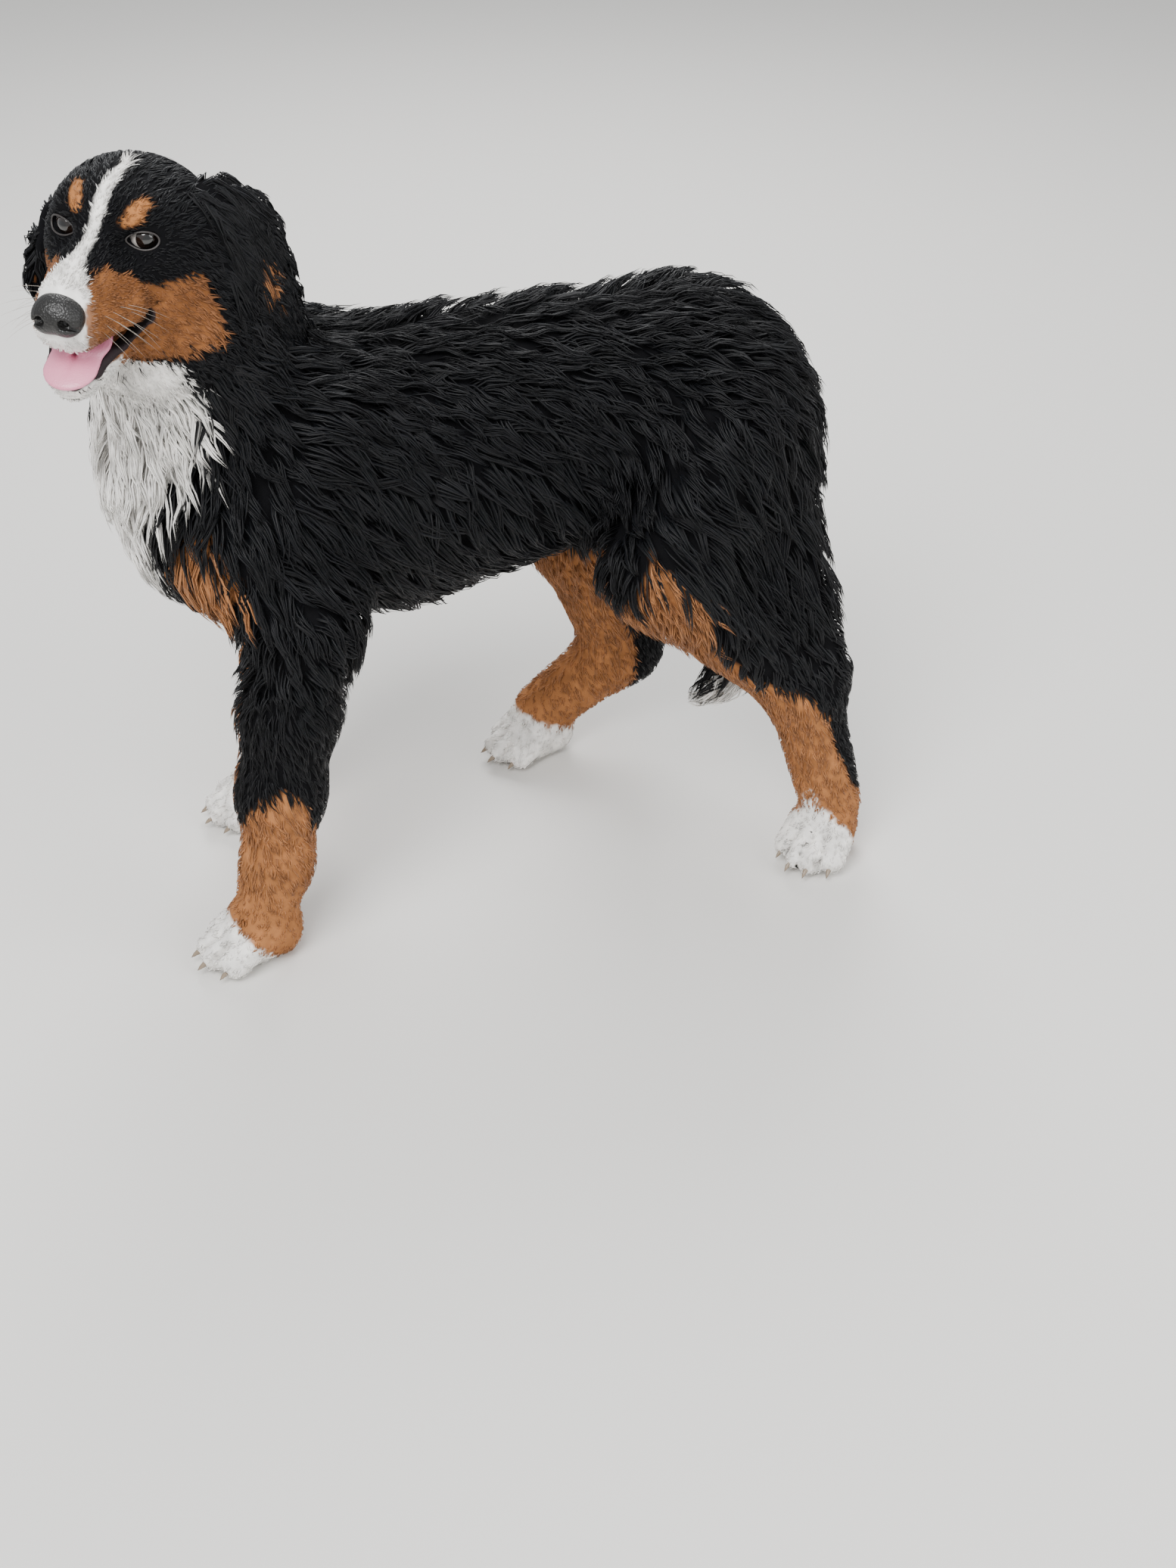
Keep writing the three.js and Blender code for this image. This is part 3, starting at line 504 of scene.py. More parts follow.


# Markings, and the painted shade in the gap between the lips. Each is a score in millimetres, above 0
# inside the patch, made ragged like hair.

BLACK = "#0b0b0d"
RUST = "#a56f45"
DEEP_RUST = "#6f4527"
BROW_RUST = "#c0824e"
WHITE = "#f6f3ee"
LIP = "#2e2729"
# The next colour is near-black painted shade for the narrow gap between the lips.
GAP_SHADE = "#0c0808"


def linear(code):
    """An sRGB hex colour as linear red, green and blue."""
    parts = np.array([int(code[i:i + 2], 16) / 255 for i in (1, 3, 5)])
    return np.where(parts <= 0.04045, parts / 12.92, ((parts + 0.055) / 1.055) ** 2.4)


def ragged(p, size):
    """Uneven values from about -1 to 1 that change over about size millimetres."""
    a, b, c = (p / size).T
    first = np.sin(2.1 * a + 1.3 * np.sin(1.7 * b + c)) * np.cos(1.9 * c - 0.8 * a)
    second = np.sin(4.3 * b - 2.9 * c + 1.1 * a) * np.cos(3.7 * a + 2.2 * b)
    return 0.65 * first + 0.35 * second


def blob(centre, radii):
    """A round marking, as its score."""
    field = egg(np.asarray(centre, float), radii)
    return lambda p: -field(p)


def edge_at(x, places):
    """Where a line through places is at each x."""
    xs, ys = zip(*places)
    return np.interp(x, xs, ys)


# Across the face at each x: where the white blaze starts and ends.
BLAZE_LEFT = [
    (-54, -3), (-49, 0), (-36, 3.6), (-20, 6), (-9, 6.5), (6, 5.6), (16, 4), (28, 3.8), (38, 4),
    (47, 6), (53, 10.5), (59, 14), (63, 17.4), (71, 21), (75, 60),
]
BLAZE_RIGHT = [
    (-54, -3), (-48, -3.3), (-32, -2.4), (-18, -1.6), (-7, -2.8), (8, -2.6), (16, -3.1), (29, -4),
    (40, -7), (48, -12), (55, -15.7), (62, -18), (71, -21), (75, -60),
]
# How far back the white of the muzzle reaches at each depth below the eyes.
MUZZLE_WHITE = [(9, 64), (19, 66), (28, 71), (36, 74), (46, 74), (60, 66)]
# The upper edge of the rust on the cheek at each x.
RUST_TOP = [
    (-40, -90), (-33, -58), (-25, -30), (-10, -29), (-2, -30.5), (6, -31), (16, -26), (21, -20),
    (31, -17), (36, -11), (44, -10.5), (53, -13), (62, -15), (90, -15),
]
# Each brow spot is a short stroke, from its outer end to its inner end.
BROW_STROKES = [((-4, 29.5, 23), (9, 22.5, 12.5), 4.8), ((-8, -22.5, 29), (8, -16, 19), 4.4)]
# The rust hairs at the rear edge of the near ear.
EAR_TUFT, TUFT_RADII = (-85, 84, -43), (13, 13, 15)
# The white of the throat and chest, as points down its middle with their radii.
CHEST_WHITE = [
    ((-290, -118, 590), 48), ((-268, -60, 520), 52), ((-285, -22, 450), 40),
    ((-262, -12, 385), 26), ((-248, -10, 340), 12),
]
CHEST_WHITE_BACK = -205
# The rust on each side of the chest, as middles and radii.
CHEST_RUST = [((-250, -104, 385), (34, 44, 36)), ((-250, 84, 385), (34, 40, 36))]


def face_marks(h, grain):
    """Scores of white, rust, brow spot, dark lip and painted shade in the lips' gap, at points in the
    head's frame.
    """
    x, y, z = h.T
    top = np.minimum(edge_at(x, BLAZE_LEFT) - y, y - edge_at(x, BLAZE_RIGHT)) + 1.1 * grain
    top = np.where(z > -24, top, np.minimum(top, -1))
    front = x - edge_at(-z, MUZZLE_WHITE) + 1.5 * grain
    front = np.where(z > -66, front, -9)
    chin = np.minimum(-79 - z, x - 30) + 1.5 * grain
    white = np.maximum.reduce([top, front, chin])
    rust = np.minimum(edge_at(x, RUST_TOP) - z, z + 93 + 0.25 * x)
    rust = np.minimum(rust, x + 34) + 2.0 * grain
    brow = np.full(len(h), -50.0)
    for a, b, radius in BROW_STROKES:
        brow = np.maximum(brow, -limb(vec(*a), vec(*b), radius, radius * 1.15)(h))
    lip = 1.0 - lower_lip(h)
    # Painted shade: near-black in and round the gap between the lips.
    gap_shade_score = 2.2 - mouth_gap(from_head(h))
    upper_edge = np.minimum(3.0 - mouth_gap(from_head(h)), -50 - z)
    return white, rust, brow + 1.0 * grain, np.maximum(lip, upper_edge), gap_shade_score


# The edges of the black on the legs: x at each height on a thigh, height at each x on a foreleg.
NEAR_THIGH_LINE = [
    (40, 400), (81, 330), (106, 319), (137, 304), (172, 293), (200, 273), (211, 248), (226, 215),
    (263, 188), (301, 172), (334, 157), (357, 125),
]
NEAR_THIGH_FRONT = [(262, 92), (300, 104), (330, 112), (357, 122)]
NEAR_FORE_LINE = [
    (-250, 140), (-239, 150), (-231, 169), (-223, 181), (-213, 190), (-201, 191), (-187, 179),
    (-183, 150), (-165, 120),
]
FAR_THIGH_LINE = [(40, 170), (80, 184), (122, 187), (158, 183), (217, 150), (245, 150), (320, 170)]
# How steeply the edge of the white rises ahead of the ankle, and how far back it starts.
WHITE_TOES = {
    "fore_left": (0.8, 7),
    "fore_right": (0.8, 7),
    "hind_left": (0.47, 2),
    "hind_right": (1.9, 84),
}
TOE_REACH = 82  # no white is further than this from an ankle


def leg_marks(p, grain):
    """Scores of white and rust on the four legs and paws."""
    x, y, z = p.T
    white = np.full(len(p), -50.0)
    for name, (rise, back) in WHITE_TOES.items():
        ankle, heading = LEGS[name][0], math.radians(PAW_SHAPES[name][0])
        off = ankle[:2] - p[:, :2]
        ahead = off @ vec(math.cos(heading), math.sin(heading))
        toes = (ahead + back - rise * z) / math.hypot(1, rise)
        white = np.maximum(white, np.minimum(toes, TOE_REACH - np.linalg.norm(off, axis=1)))
    near_fore = np.minimum.reduce([edge_at(x, NEAR_FORE_LINE) - z + 3 * grain, -60 - y, -120 - x])
    far_fore = np.minimum.reduce([268 - z + 0.4 * (-170 - x), y - 62, -100 - x])
    inner_fore = np.minimum.reduce([262 - z, y + 100, -y - 40, -160 - x])
    near_hind = np.minimum.reduce([
        edge_at(z, NEAR_THIGH_LINE) - x + 2.5 * grain, 366 - z, -70 - y, x - edge_at(z, NEAR_THIGH_FRONT),
    ])
    inner_hind = np.minimum.reduce([y + 96, -y - 50, 300 - z, x - 130, 290 - x])
    far_hind = np.minimum.reduce([edge_at(z, FAR_THIGH_LINE) - x + 3 * grain, 300 - z, y - 40, x - 20])
    rust = np.maximum.reduce([near_fore, far_fore, inner_fore, near_hind, inner_hind, far_hind])
    return white + 3 * grain, rust


FAR_OUTSIDE = -60.0
# The third width is for the painted shade in the gap between the lips.
EDGE, LIP_EDGE, GAP_SHADE_EDGE = 1.4, 0.7, 0.8  # half the width over which each marking fades


def marking_shares(p):
    """Shares of white, rust, bright brow, dark lip and painted shade in the lips' gap at points of the
    coat or skin.
    """
    x, y, z = p.T
    grain = ragged(p, 7.0) + 0.5 * ragged(p, 2.5)
    white = np.full(len(p), FAR_OUTSIDE)
    for (a, ra), (b, rb) in zip(CHEST_WHITE, CHEST_WHITE[1:]):
        white = np.maximum(white, -limb(vec(*a), vec(*b), ra, rb)(p))
    white = np.minimum(white, CHEST_WHITE_BACK - x) + 4 * grain
    rust = np.maximum.reduce([blob(*patch)(p) for patch in CHEST_RUST]) + 4 * grain
    foot_white, leg_rust = leg_marks(p, grain)
    white = np.maximum(white, np.where(z < 90, foot_white, FAR_OUTSIDE))
    rust = np.where(z < 370, np.maximum(rust, leg_rust), rust)
    near_tail_tip = (np.abs(y) < 26) & (x > 190) & (z < 170)
    tail_white = 136 + 0.4 * (x - 226) - z
    white = np.where(near_tail_tip, np.maximum(white, tail_white), white)
    h = to_head(p)
    in_face = (h[:, 0] > -62) & (h[:, 2] > -96) & (np.abs(h[:, 1]) < 74) & (h[:, 2] < 70)
    face_white, face_rust, brow, lip, gap_shade = face_marks(h, grain)
    white = np.where(in_face, face_white, white)
    rust = np.where(in_face, np.maximum(face_rust, brow), rust)
    w = smooth(white, -EDGE, EDGE)
    r = smooth(rust, -EDGE, EDGE) * (1 - w)
    tuft = blob(EAR_TUFT, TUFT_RADII)(h) + 7 * ragged(p, 3.0)
    r = np.maximum(r, smooth(tuft, 3, 6) * 0.8)
    bright = smooth(brow, -EDGE, EDGE) * in_face
    dark = smooth(lip, -LIP_EDGE, LIP_EDGE) * in_face
    # The painted shade of the gap between the lips, faded at its edge.
    in_gap_shade = smooth(gap_shade, -GAP_SHADE_EDGE, GAP_SHADE_EDGE) * in_face
    return w * (1 - dark), r * (1 - dark), bright, dark, in_gap_shade


def paint(p, shade=None):
    """The coat's colour at points of the design, as linear RGBA. shade varies it by strand."""
    w, r, bright, dark, gap_shade = (share[:, None] for share in marking_shares(p))
    if shade is None:
        shade = np.full(len(p), 0.5)
    shade = shade[:, None]
    black = linear(BLACK) * (0.55 + 0.9 * shade)
    patchy = np.clip(0.5 + 0.5 * ragged(p, 26.0), 0, 1)[:, None]
    on_face = (1 - smooth(away_from_face(p), 100, 125))[:, None]
    full_rust = linear(RUST) + (linear(BROW_RUST) - linear(RUST)) * bright
    lightness = (0.35 + 0.9 * shade) * (0.72 + 0.5 * patchy) * (1 - 0.58 * on_face) + 0.25 * bright
    rust = linear(DEEP_RUST) + (full_rust - linear(DEEP_RUST)) * lightness
    white = linear(WHITE) * (0.84 + 0.16 * shade)
    b = np.clip(1 - w - r - dark, 0, 1)
    rgb = b * black + r * rust + w * white + dark * linear(LIP)
    # Painted shade: the gap between the lips goes near-black.
    rgb = rgb + (linear(GAP_SHADE) - rgb) * gap_shade
    return np.column_stack([rgb, np.ones(len(p))])


# The skin, in one piece: coarse on the body and fine on the head, where the two shells overlap.
HEAD_LOW, HEAD_HIGH = vec(-430, -300, 540), vec(-130, 30, 780)
HEAD_CUT = from_head(vec(-86, 0, -40))
HEAD_CUT_WAY = unit(np.array([0.93, 0, 0.36]) @ HEAD_AXES)
BODY_LOW, BODY_HIGH = vec(-380, -240, -12), vec(390, 240, 700)
BODY_STEP, HEAD_STEP = 4.9, 2.1
SHELL_OVERLAP = 4  # how far each shell runs past the cut

# The opening between the lids is an egg of these radii round a point ahead of the eye.
OPENING, OPENING_AHEAD = vec(8, 9.9, 6.8), 10
INNER_CORNER = 0.3  # how much further the opening reaches towards the nose


def eye_frame(side):
    """Ahead, across towards the dog's left, and up, for one eye."""
    ahead = eye_facing(side)
    across = unit(np.cross(vec(0, 0, 1), ahead))
    return ahead, across, np.cross(ahead, across)


def eye_openings(p):
    """The space between the lids of each eye."""
    h = to_head(p)
    holes = []
    for s in SIDES:
        ahead, across, up = eye_frame(s)
        q = h - (eye_centre(s) + OPENING_AHEAD * ahead)
        u, v = q @ across, q @ up
        inward = np.clip(-s * u / np.hypot(np.hypot(u, v), 0.1), 0, 1)
        local = np.stack([q @ ahead, u / (1 + INNER_CORNER * inward ** 6), v], axis=1)
        holes.append(egg(vec(0, 0, 0), OPENING)(local))
    return np.minimum(*holes)


def before_cut(p):
    """How far points are on the face's side of the cut between the two shells."""
    return (p - HEAD_CUT) @ HEAD_CUT_WAY


def ear_room(p):
    return np.minimum(ears[1](p), ears[-1](p))


def head_skin(p):
    return np.maximum.reduce([skin(p), -eye_openings(p), -before_cut(p) - SHELL_OVERLAP])


def body_skin(p):
    return np.maximum(skin(p), before_cut(p) - SHELL_OVERLAP)


def make_skin():
    body_points, body_quads = sculpt(body_skin, BODY_LOW, BODY_HIGH, BODY_STEP)
    head_points, head_quads = sculpt(head_skin, HEAD_LOW, HEAD_HIGH, HEAD_STEP)
    points = np.concatenate([body_points, head_points])
    quads = np.concatenate([body_quads, head_quads + len(body_points)])
    obj = mesh_object("skin", points, quads)
    add_values(obj, "Colour", paint(points), "FLOAT_COLOR")
    return obj, points, quads


def unwrap(obj):
    """Unwraps the skin, and returns the place of each corner of its quads."""
    obj.data.uv_layers.new(name="OFBake")
    bpy.context.view_layer.objects.active = obj
    obj.select_set(True)
    bpy.ops.object.mode_set(mode="EDIT")
    bpy.ops.mesh.select_all(action="SELECT")
    bpy.ops.uv.smart_project(angle_limit=math.radians(66), island_margin=0.002)
    bpy.ops.object.mode_set(mode="OBJECT")
    obj.select_set(False)
    uv = np.zeros(len(obj.data.loops) * 2, np.float32)
    obj.data.uv_layers["OFBake"].uv.foreach_get("vector", uv)
    return uv.reshape(-1, 4, 2)


# The coat grows in locks: strands that start side by side and run together at their tips.


def turned(way, other, share):
    """Ways that turn towards other ones by a share from 0 to 1."""
    share = share[:, None]
    return way * (1 - share) + other * share


def toe_way(p):
    """Out from the ankle of the nearest leg and down, for the hair on the paws."""
    ankles = np.array([ankle for ankle, _ in LEGS.values()])
    off = p[:, None, :2] - ankles[None, :, :2]
    near = np.argmin((off ** 2).sum(axis=2), axis=1)
    out = unit(off[np.arange(len(p)), near] + 1e-6)
    return np.column_stack([out * 0.8 + [-0.25, 0], np.full(len(p), -0.6)])


def face_lie(p):
    """The way the hair of the head lies, back from the nose and down the cheeks."""
    hx, hy, hz = to_head(p).T
    outward = np.sign(hy)
    lift = -0.25 + 0.5 * smooth(hz, -30, -5)
    muzzle = np.stack([np.full(len(p), -1.0), 0.25 * outward, lift], axis=1)
    crown = np.stack([np.full(len(p), -1.0), 0.35 * outward, np.full(len(p), 0.1)], axis=1)
    cheek = np.stack([np.full(len(p), -0.75), 0.5 * outward, np.full(len(p), -0.8)], axis=1)
    behind = turned(cheek, crown, smooth(hz, -14, 6))
    return turned(muzzle, behind, smooth(-hx, -20, 30)) @ HEAD_AXES


def lie_at(p):
    """The way the coat lies at points of the design."""
    x, y, z = p.T
    drop = -0.25 - 0.9 * smooth(-z, -WITHERS, -400)
    way = np.stack([np.full(len(p), 0.85), 0.25 * np.sign(y), drop], axis=1)
    on_chest, on_rump = smooth(-x, 130, 230), smooth(x, 170, 280)
    on_neck = smooth(z, 500, 570) * smooth(-x, 60, 140)
    on_legs, on_toes = smooth(-z, -340, -270), smooth(-z, -70, -40)
    on_head = 1 - smooth(away_from_face(p), 92, 130)
    way = turned(way, vec(0.12, 0, -1), on_chest)
    way = turned(way, vec(0.35, 0, -1), on_rump)
    way = turned(way, vec(0.55, 0.25, -0.75), on_neck)
    way = turned(way, vec(0.28, 0, -1), on_legs)
    way = turned(way, toe_way(p), on_toes)
    return unit(turned(way, face_lie(p), on_head))


def tail_lie(p):
    forward = -0.95 * smooth(-p[:, 2], -270, -140)
    return unit(np.stack([forward, np.zeros(len(p)), -np.ones(len(p))], axis=1))


def ear_lie(p):
    outward = np.sign(to_head(p)[:, 1])
    way = np.stack([np.full(len(p), -0.45), 0.2 * outward, np.full(len(p), -1.0)], axis=1)
    return unit(way @ HEAD_AXES)


# How long the hair is, and how high its tips stand over the skin.

GROIN, GROIN_RADII = (120, -100, 352), (62, 50, 56)


def flat(value):
    return lambda p: np.full(len(p), float(value))


def trunk_length(p):
    """Longest under the body, and short at the groin and at the top of the forelegs."""
    x, z = p[:, 0], p[:, 2]
    fringe = 8 * smooth(-z, -420, -340) + 6 * smooth(-x, 200, 260)
    groin = smooth(blob(GROIN, GROIN_RADII)(p), 0, 18)
    front = smooth(-x, 110, 150)
    high = smooth(z - 55 * front, 255, 345)
    share = 0.45 - 0.35 * front + (0.55 + 0.35 * front) * high
    return 18 + (28 + fringe) * long_coat(p) * share * (1 - 0.7 * groin)


def trunk_loft(p):
    return coat_depth(p) * 1.05 + 1.0


def face_length(p):
    return 5.0 + 17 * smooth(-to_head(p)[:, 0], -12, 70)


def face_loft(p):
    return coat_depth(p) * 0.75 + 0.2


def leg_length(p):
    return 5 + 6 * smooth(p[:, 2], 55, 110) + 9 * smooth(p[:, 2], 120, 230)


def leg_loft(p):
    above_paw = smooth(p[:, 2], 50, 90)
    return coat_depth(p) * (0.6 + 0.4 * above_paw) + 0.5 * above_paw


def ear_length(p):
    return 20 + 20 * smooth(to_head(p)[:, 0], -102, -84)


class Style:
    """How one stretch of coat grows. Lengths are in millimetres.

    spacing is the room of a lock, strands their number in it, width that of a strand, rings the
    number of bends in a strand, and wave how much it bends from side to side.
    """

    def __init__(self, spacing, strands, length, width, loft, rings, wave=0.0, lie=lie_at):
        self.spacing, self.strands, self.length, self.width = spacing, strands, length, width
        self.loft, self.rings, self.wave, self.lie = loft, rings, wave, lie


WAVY = Style(13, 9, trunk_length, 1.75, trunk_loft, 5, wave=0.32)
STRAIGHT = Style(14, 9, trunk_length, 1.85, trunk_loft, 4, wave=0.12)
RUFF = Style(13.5, 9, trunk_length, 1.8, trunk_loft, 4, wave=0.2)
TAIL_HAIR = Style(12, 9, flat(46), 1.8, flat(11), 4, wave=0.3, lie=tail_lie)
LEG_HAIR = Style(6.4, 4, leg_length, 1.3, leg_loft, 2)
FACE_HAIR = Style(3.2, 3, face_length, 0.85, face_loft, 2)
CROWN_HAIR = Style(4.7, 4, face_length, 1.05, face_loft, 3)
EAR_HAIR = Style(7, 9, ear_length, 1.3, flat(3.6), 4, wave=0.12, lie=ear_lie)

TRIES = 4  # places tried in each square of spacing
HASH = (73856093, 19349663, 83492791)  # large primes that give each cube its own number


def scatter(rng, points, quads, pick, spacing):
    """Random places on the picked quads, at most one in each cube of spacing."""
    chosen = np.nonzero(pick)[0]
    tri = np.concatenate([quads[chosen][:, [0, 1, 2]], quads[chosen][:, [0, 2, 3]]])
    which = np.concatenate([chosen, chosen])
    half = np.repeat([0, 1], len(chosen))
    a, b, c = (points[tri[:, i]] for i in range(3))
    area = np.linalg.norm(np.cross(b - a, c - a), axis=1)
    tries = int(area.sum() / 2 / spacing ** 2 * TRIES)
    hit = np.searchsorted(np.cumsum(area), rng.random(tries) * area.sum())
    hit = np.minimum(hit, len(tri) - 1)
    s, r = np.sqrt(rng.random(tries)), rng.random(tries)
    weights = np.stack([1 - s, s * (1 - r), s * r], axis=1)
    place = a[hit] * weights[:, :1] + b[hit] * weights[:, 1:2] + c[hit] * weights[:, 2:]
    cell = np.floor(place / spacing).astype(np.int64)
    key = (cell[:, 0] * HASH[0]) ^ (cell[:, 1] * HASH[1]) ^ (cell[:, 2] * HASH[2])
    _, first = np.unique(key, return_index=True)
    first.sort()
    return place[first], which[hit[first]], half[hit[first]], weights[first]


ROOT_DEPTH = 2.0  # how far under the skin a strand starts
LOWEST_LOCK, LOWEST_STRAND = 1.5, 0.4  # how near the floor hair may come
WAVE_SPAN, RIPPLE_SPAN, RIPPLE_HEIGHT = 34, 30, 3.0
CORNER_PLACES = [(-0.5, 0.0), (0.5, 0.0), (0.0, 0.42)]  # the corners of a strand's section
# How wide a strand is at each ring, by its number of rings.
TAPERS = {2: [0.95, 0.8], 3: [0.9, 1.0, 0.6], 4: [0.75, 1.0, 0.95, 0.7], 5: [0.75, 1.0, 0.95, 0.8, 0.55]}
PATCH = 0.003  # the size of a strand on the unwrap
SKIN_SPAN = 1500  # millimetres of skin for one unit of its unwrap


def lock_paths(rng, field, roots, style):
    """The path of each lock, with the ways up and along it at each ring, and its loft."""
    count, rings = len(roots), style.rings
    length = style.length(roots) * rng.uniform(0.8, 1.2, count)
    loft = style.loft(roots) * rng.uniform(0.75, 1.15, count)
    phase = rng.uniform(0, 2 * math.pi, count)
    sway = rng.normal(0, 0.22, count)
    turn_by = rng.normal(0, 0.12, (count, 3))
    p = settled(field, roots, -ROOT_DEPTH)
    path, ups, ways = [], [], []
    for k in range(rings + 1):
        t = k / rings
        out = unit(slope_of(field, p))
        way = style.lie(p) + turn_by
        way = unit(way - out * np.einsum("ij,ij->i", way, out)[:, None])
        bend = sway + style.wave * np.cos(phase + 2 * math.pi * t * length / WAVE_SPAN)
        way = unit(way + np.cross(out, way) * bend[:, None])
        path.append(p)
        ups.append(out)
        ways.append(way)
        if k < rings:
            ahead = p + way * (length / rings)[:, None]
            rise = loft * math.sin(min(1.0, (k + 1) / rings * 1.15) * math.pi / 2)
            turn = phase * 1.7 + 2 * math.pi * t * length / RIPPLE_SPAN
            p = settled(field, ahead, rise + style.wave * RIPPLE_HEIGHT * np.sin(turn))
            p[:, 2] = np.maximum(p[:, 2], LOWEST_LOCK)
    return path, ups, ways, loft


def strand_faces(rings, copies):
    """The faces of closed three-sided strands, each of some rings of three corners and a tip."""
    pattern = [(0, 2, 1)]
    for k in range(rings - 1):
        for i in range(3):
            a, b = 3 * k + i, 3 * k + (i + 1) % 3
            pattern += [(a, b, b + 3), (a, b + 3, a + 3)]
    last = 3 * rings - 3
    pattern += [(last + i, last + (i + 1) % 3, last + 3) for i in range(3)]
    first = np.arange(copies) * (3 * rings + 1)
    return (np.array(pattern)[None] + first[:, None, None]).reshape(-1, 3)


def grow(rng, field, roots, root_uv, style):
    """Strands of hair over a field, as points, faces, colours, places on the unwrap and tips."""
    path, ups, ways, loft = lock_paths(rng, field, roots, style)
    rings, count = style.rings, len(roots)
    copies = count * style.strands
    owner = np.repeat(np.arange(count), style.strands)
    aside = rng.uniform(-0.5, 0.5, copies) * style.spacing
    onward = rng.uniform(-0.5, 0.5, copies) * style.spacing
    over = rng.uniform(-0.12, 0.12, copies) * loft[owner]
    width = style.width * rng.uniform(0.7, 1.25, copies)
    twist = rng.normal(0, 0.35, copies)
    reach = rng.uniform(0.82, 1.06, copies)
    lock_shade = rng.normal(0.5, 0.22, count)[owner]
    shade = np.clip(lock_shade * 0.5 + rng.random(copies) * 0.5, 0, 1)
    ct, st = np.cos(twist)[:, None], np.sin(twist)[:, None]
    start = path[0][owner]
    blades, patch = [], []
    for k in range(rings + 1):
        t = k / rings
        way, up = ways[k][owner], ups[k][owner]
        side = np.cross(up, way)
        centre = start + (path[k][owner] - start) * reach[:, None]
        centre = centre + side * (aside * (1 - 0.7 * t ** 1.3))[:, None]
        centre = centre + way * (onward * (1 - 0.5 * t))[:, None] + up * (over * t)[:, None]
        if k == rings:
            blades.append(centre)
            patch.append((0.5, 1.0))
            continue
        flank, ridge = side * ct + up * st, up * ct - side * st
        wide = width * TAPERS[rings][k]
        for u, v in CORNER_PLACES:
            blades.append(centre + flank * (wide * u)[:, None] + ridge * (wide * v)[:, None])
            patch.append((0.5 + u, t))
    blades = np.stack(blades, axis=1)
    blades[:, :, 2] = np.maximum(blades[:, :, 2], LOWEST_STRAND)
    spot = start + np.cross(ups[0], ways[0])[owner] * aside[:, None] + ways[0][owner] * onward[:, None]
    colours = np.repeat(paint(spot, shade), len(patch), axis=0)
    patch = np.array(patch)
    root_place = root_uv[owner] + np.stack([aside, onward], axis=1) / SKIN_SPAN
    uv = (root_place[:, None] + ((patch - 0.5) * PATCH)[None]).reshape(-1, 2)
    tips = np.tile(patch[:, 1], copies)
    return blades.reshape(-1, 3), strand_faces(rings, copies), colours, np.clip(uv, 0, 1), tips


def coat_piece(name, rng, surface, skin_uv, pick, style, keep):
    """One piece of coat on the picked quads of the skin, where keep allows its roots."""
    roots, quad, half, weights = scatter(rng, *surface, pick, style.spacing)
    if keep is not None:
        stay = keep(roots)
        roots, quad, half, weights = roots[stay], quad[stay], half[stay], weights[stay]
    order = np.array([[0, 1, 2], [0, 2, 3]])[half]
    root_uv = (skin_uv[quad[:, None], order] * weights[:, :, None]).sum(axis=1)
    xyz, faces, colours, uv, tips = grow(rng, skin, roots, root_uv, style)
    obj = mesh_object(name, xyz, faces)
    add_values(obj, "Colour", colours, "FLOAT_COLOR")
    add_values(obj, "Along", tips)
    layer = obj.data.uv_layers.new(name="OFBake")
    layer.uv.foreach_set("vector", uv[faces.ravel()].astype(np.float32).ravel())
    print(name, len(roots), "locks", len(faces), "triangles")
    return obj


def off_the_eyes(p):
    """Whether hair that starts at points of the face stays clear of the eyes."""
    way = lie_at(p)
    return np.min([eye_openings(p + way * step) for step in (0, 3.5, 7)], axis=0) > 1.6


def coat_parts(middle):
    """Which quads each piece of the coat grows on, by their middles, its style and its limit."""
    x, y, z = middle.T
    hx, _, hz = to_head(middle).T
    _, rust, _, lip, gap_shade = marking_shares(middle)
    # No hair on the dark lips, in the painted shade of the lips' gap, in the eyes or on the nose.
    bare = (lip > 0.3) | (gap_shade > 0.3) | (eye_openings(middle) < 3) | (nose(middle) < 2.2)
    bare |= (tongue(middle) < 3.5) & (hz > -84)
    on_ear = ear_room(middle) < 1.5
    on_tail = (tail(middle) < -2) & (body(middle) > 8)
    head = (away_from_face(middle) < 118) & (before_cut(middle) > -6) & ~on_ear
    short = (rust > 0.5) & (x > 0) & (z < 366)
    short |= (z < 290) & (x < -120) & (np.abs(y) > 45)
    short |= (z < 330) & (x > 50) & (x < 160) & (y < -60)
    leg = ((z < 215) | short) & ~on_tail & ~on_ear
    trunk_part = ~head & ~on_ear & ~leg & ~on_tail
    front = x <= -130
    on_back = trunk_part & (z > 468) & ~front
    on_side = trunk_part & (z <= 468) & ~front
    return {
        "coat_back_front": (on_back & (x < 60), WAVY, None),
        "coat_back_rear": (on_back & (x >= 60), WAVY, None),
        "coat_neck": (trunk_part & (z > 500) & front, RUFF, None),
        "coat_chest": (trunk_part & (z <= 500) & front, RUFF, None),
        "coat_flank": (on_side & (x < 90), STRAIGHT, None),
        "coat_thigh_near": (on_side & (x >= 90) & (y < 0), STRAIGHT, None),
        "coat_thigh_far": (on_side & (x >= 90) & (y >= 0), STRAIGHT, None),
        "coat_tail": (on_tail, TAIL_HAIR, None),
        "coat_forelegs": (leg & (x < 0), LEG_HAIR, None),
        "coat_hindlegs": (leg & (x >= 0), LEG_HAIR, None),
        "coat_face": (head & ~bare & (hx > -16), FACE_HAIR, off_the_eyes),
        "coat_crown": (head & ~bare & (hx <= -16), CROWN_HAIR, off_the_eyes),
        "coat_ears": (on_ear, EAR_HAIR, None),
    }


FIRST_SEED = 100


def make_coat(points, quads, skin_uv):
    parts = coat_parts(points[quads].mean(axis=1))
    made = []
    for i, (name, (pick, style, keep)) in enumerate(parts.items()):
        rng = np.random.default_rng(FIRST_SEED + i)
        made.append(coat_piece(name, rng, (points, quads), skin_uv, pick, style, keep))
    return made


# Materials.


def new_material(name):
    """A new material, its node tree and its shader."""
    material = bpy.data.materials.new(name)
    material.use_nodes = True
    tree = material.node_tree
    shader = tree.nodes["Principled BSDF"]
    return material, tree, shader


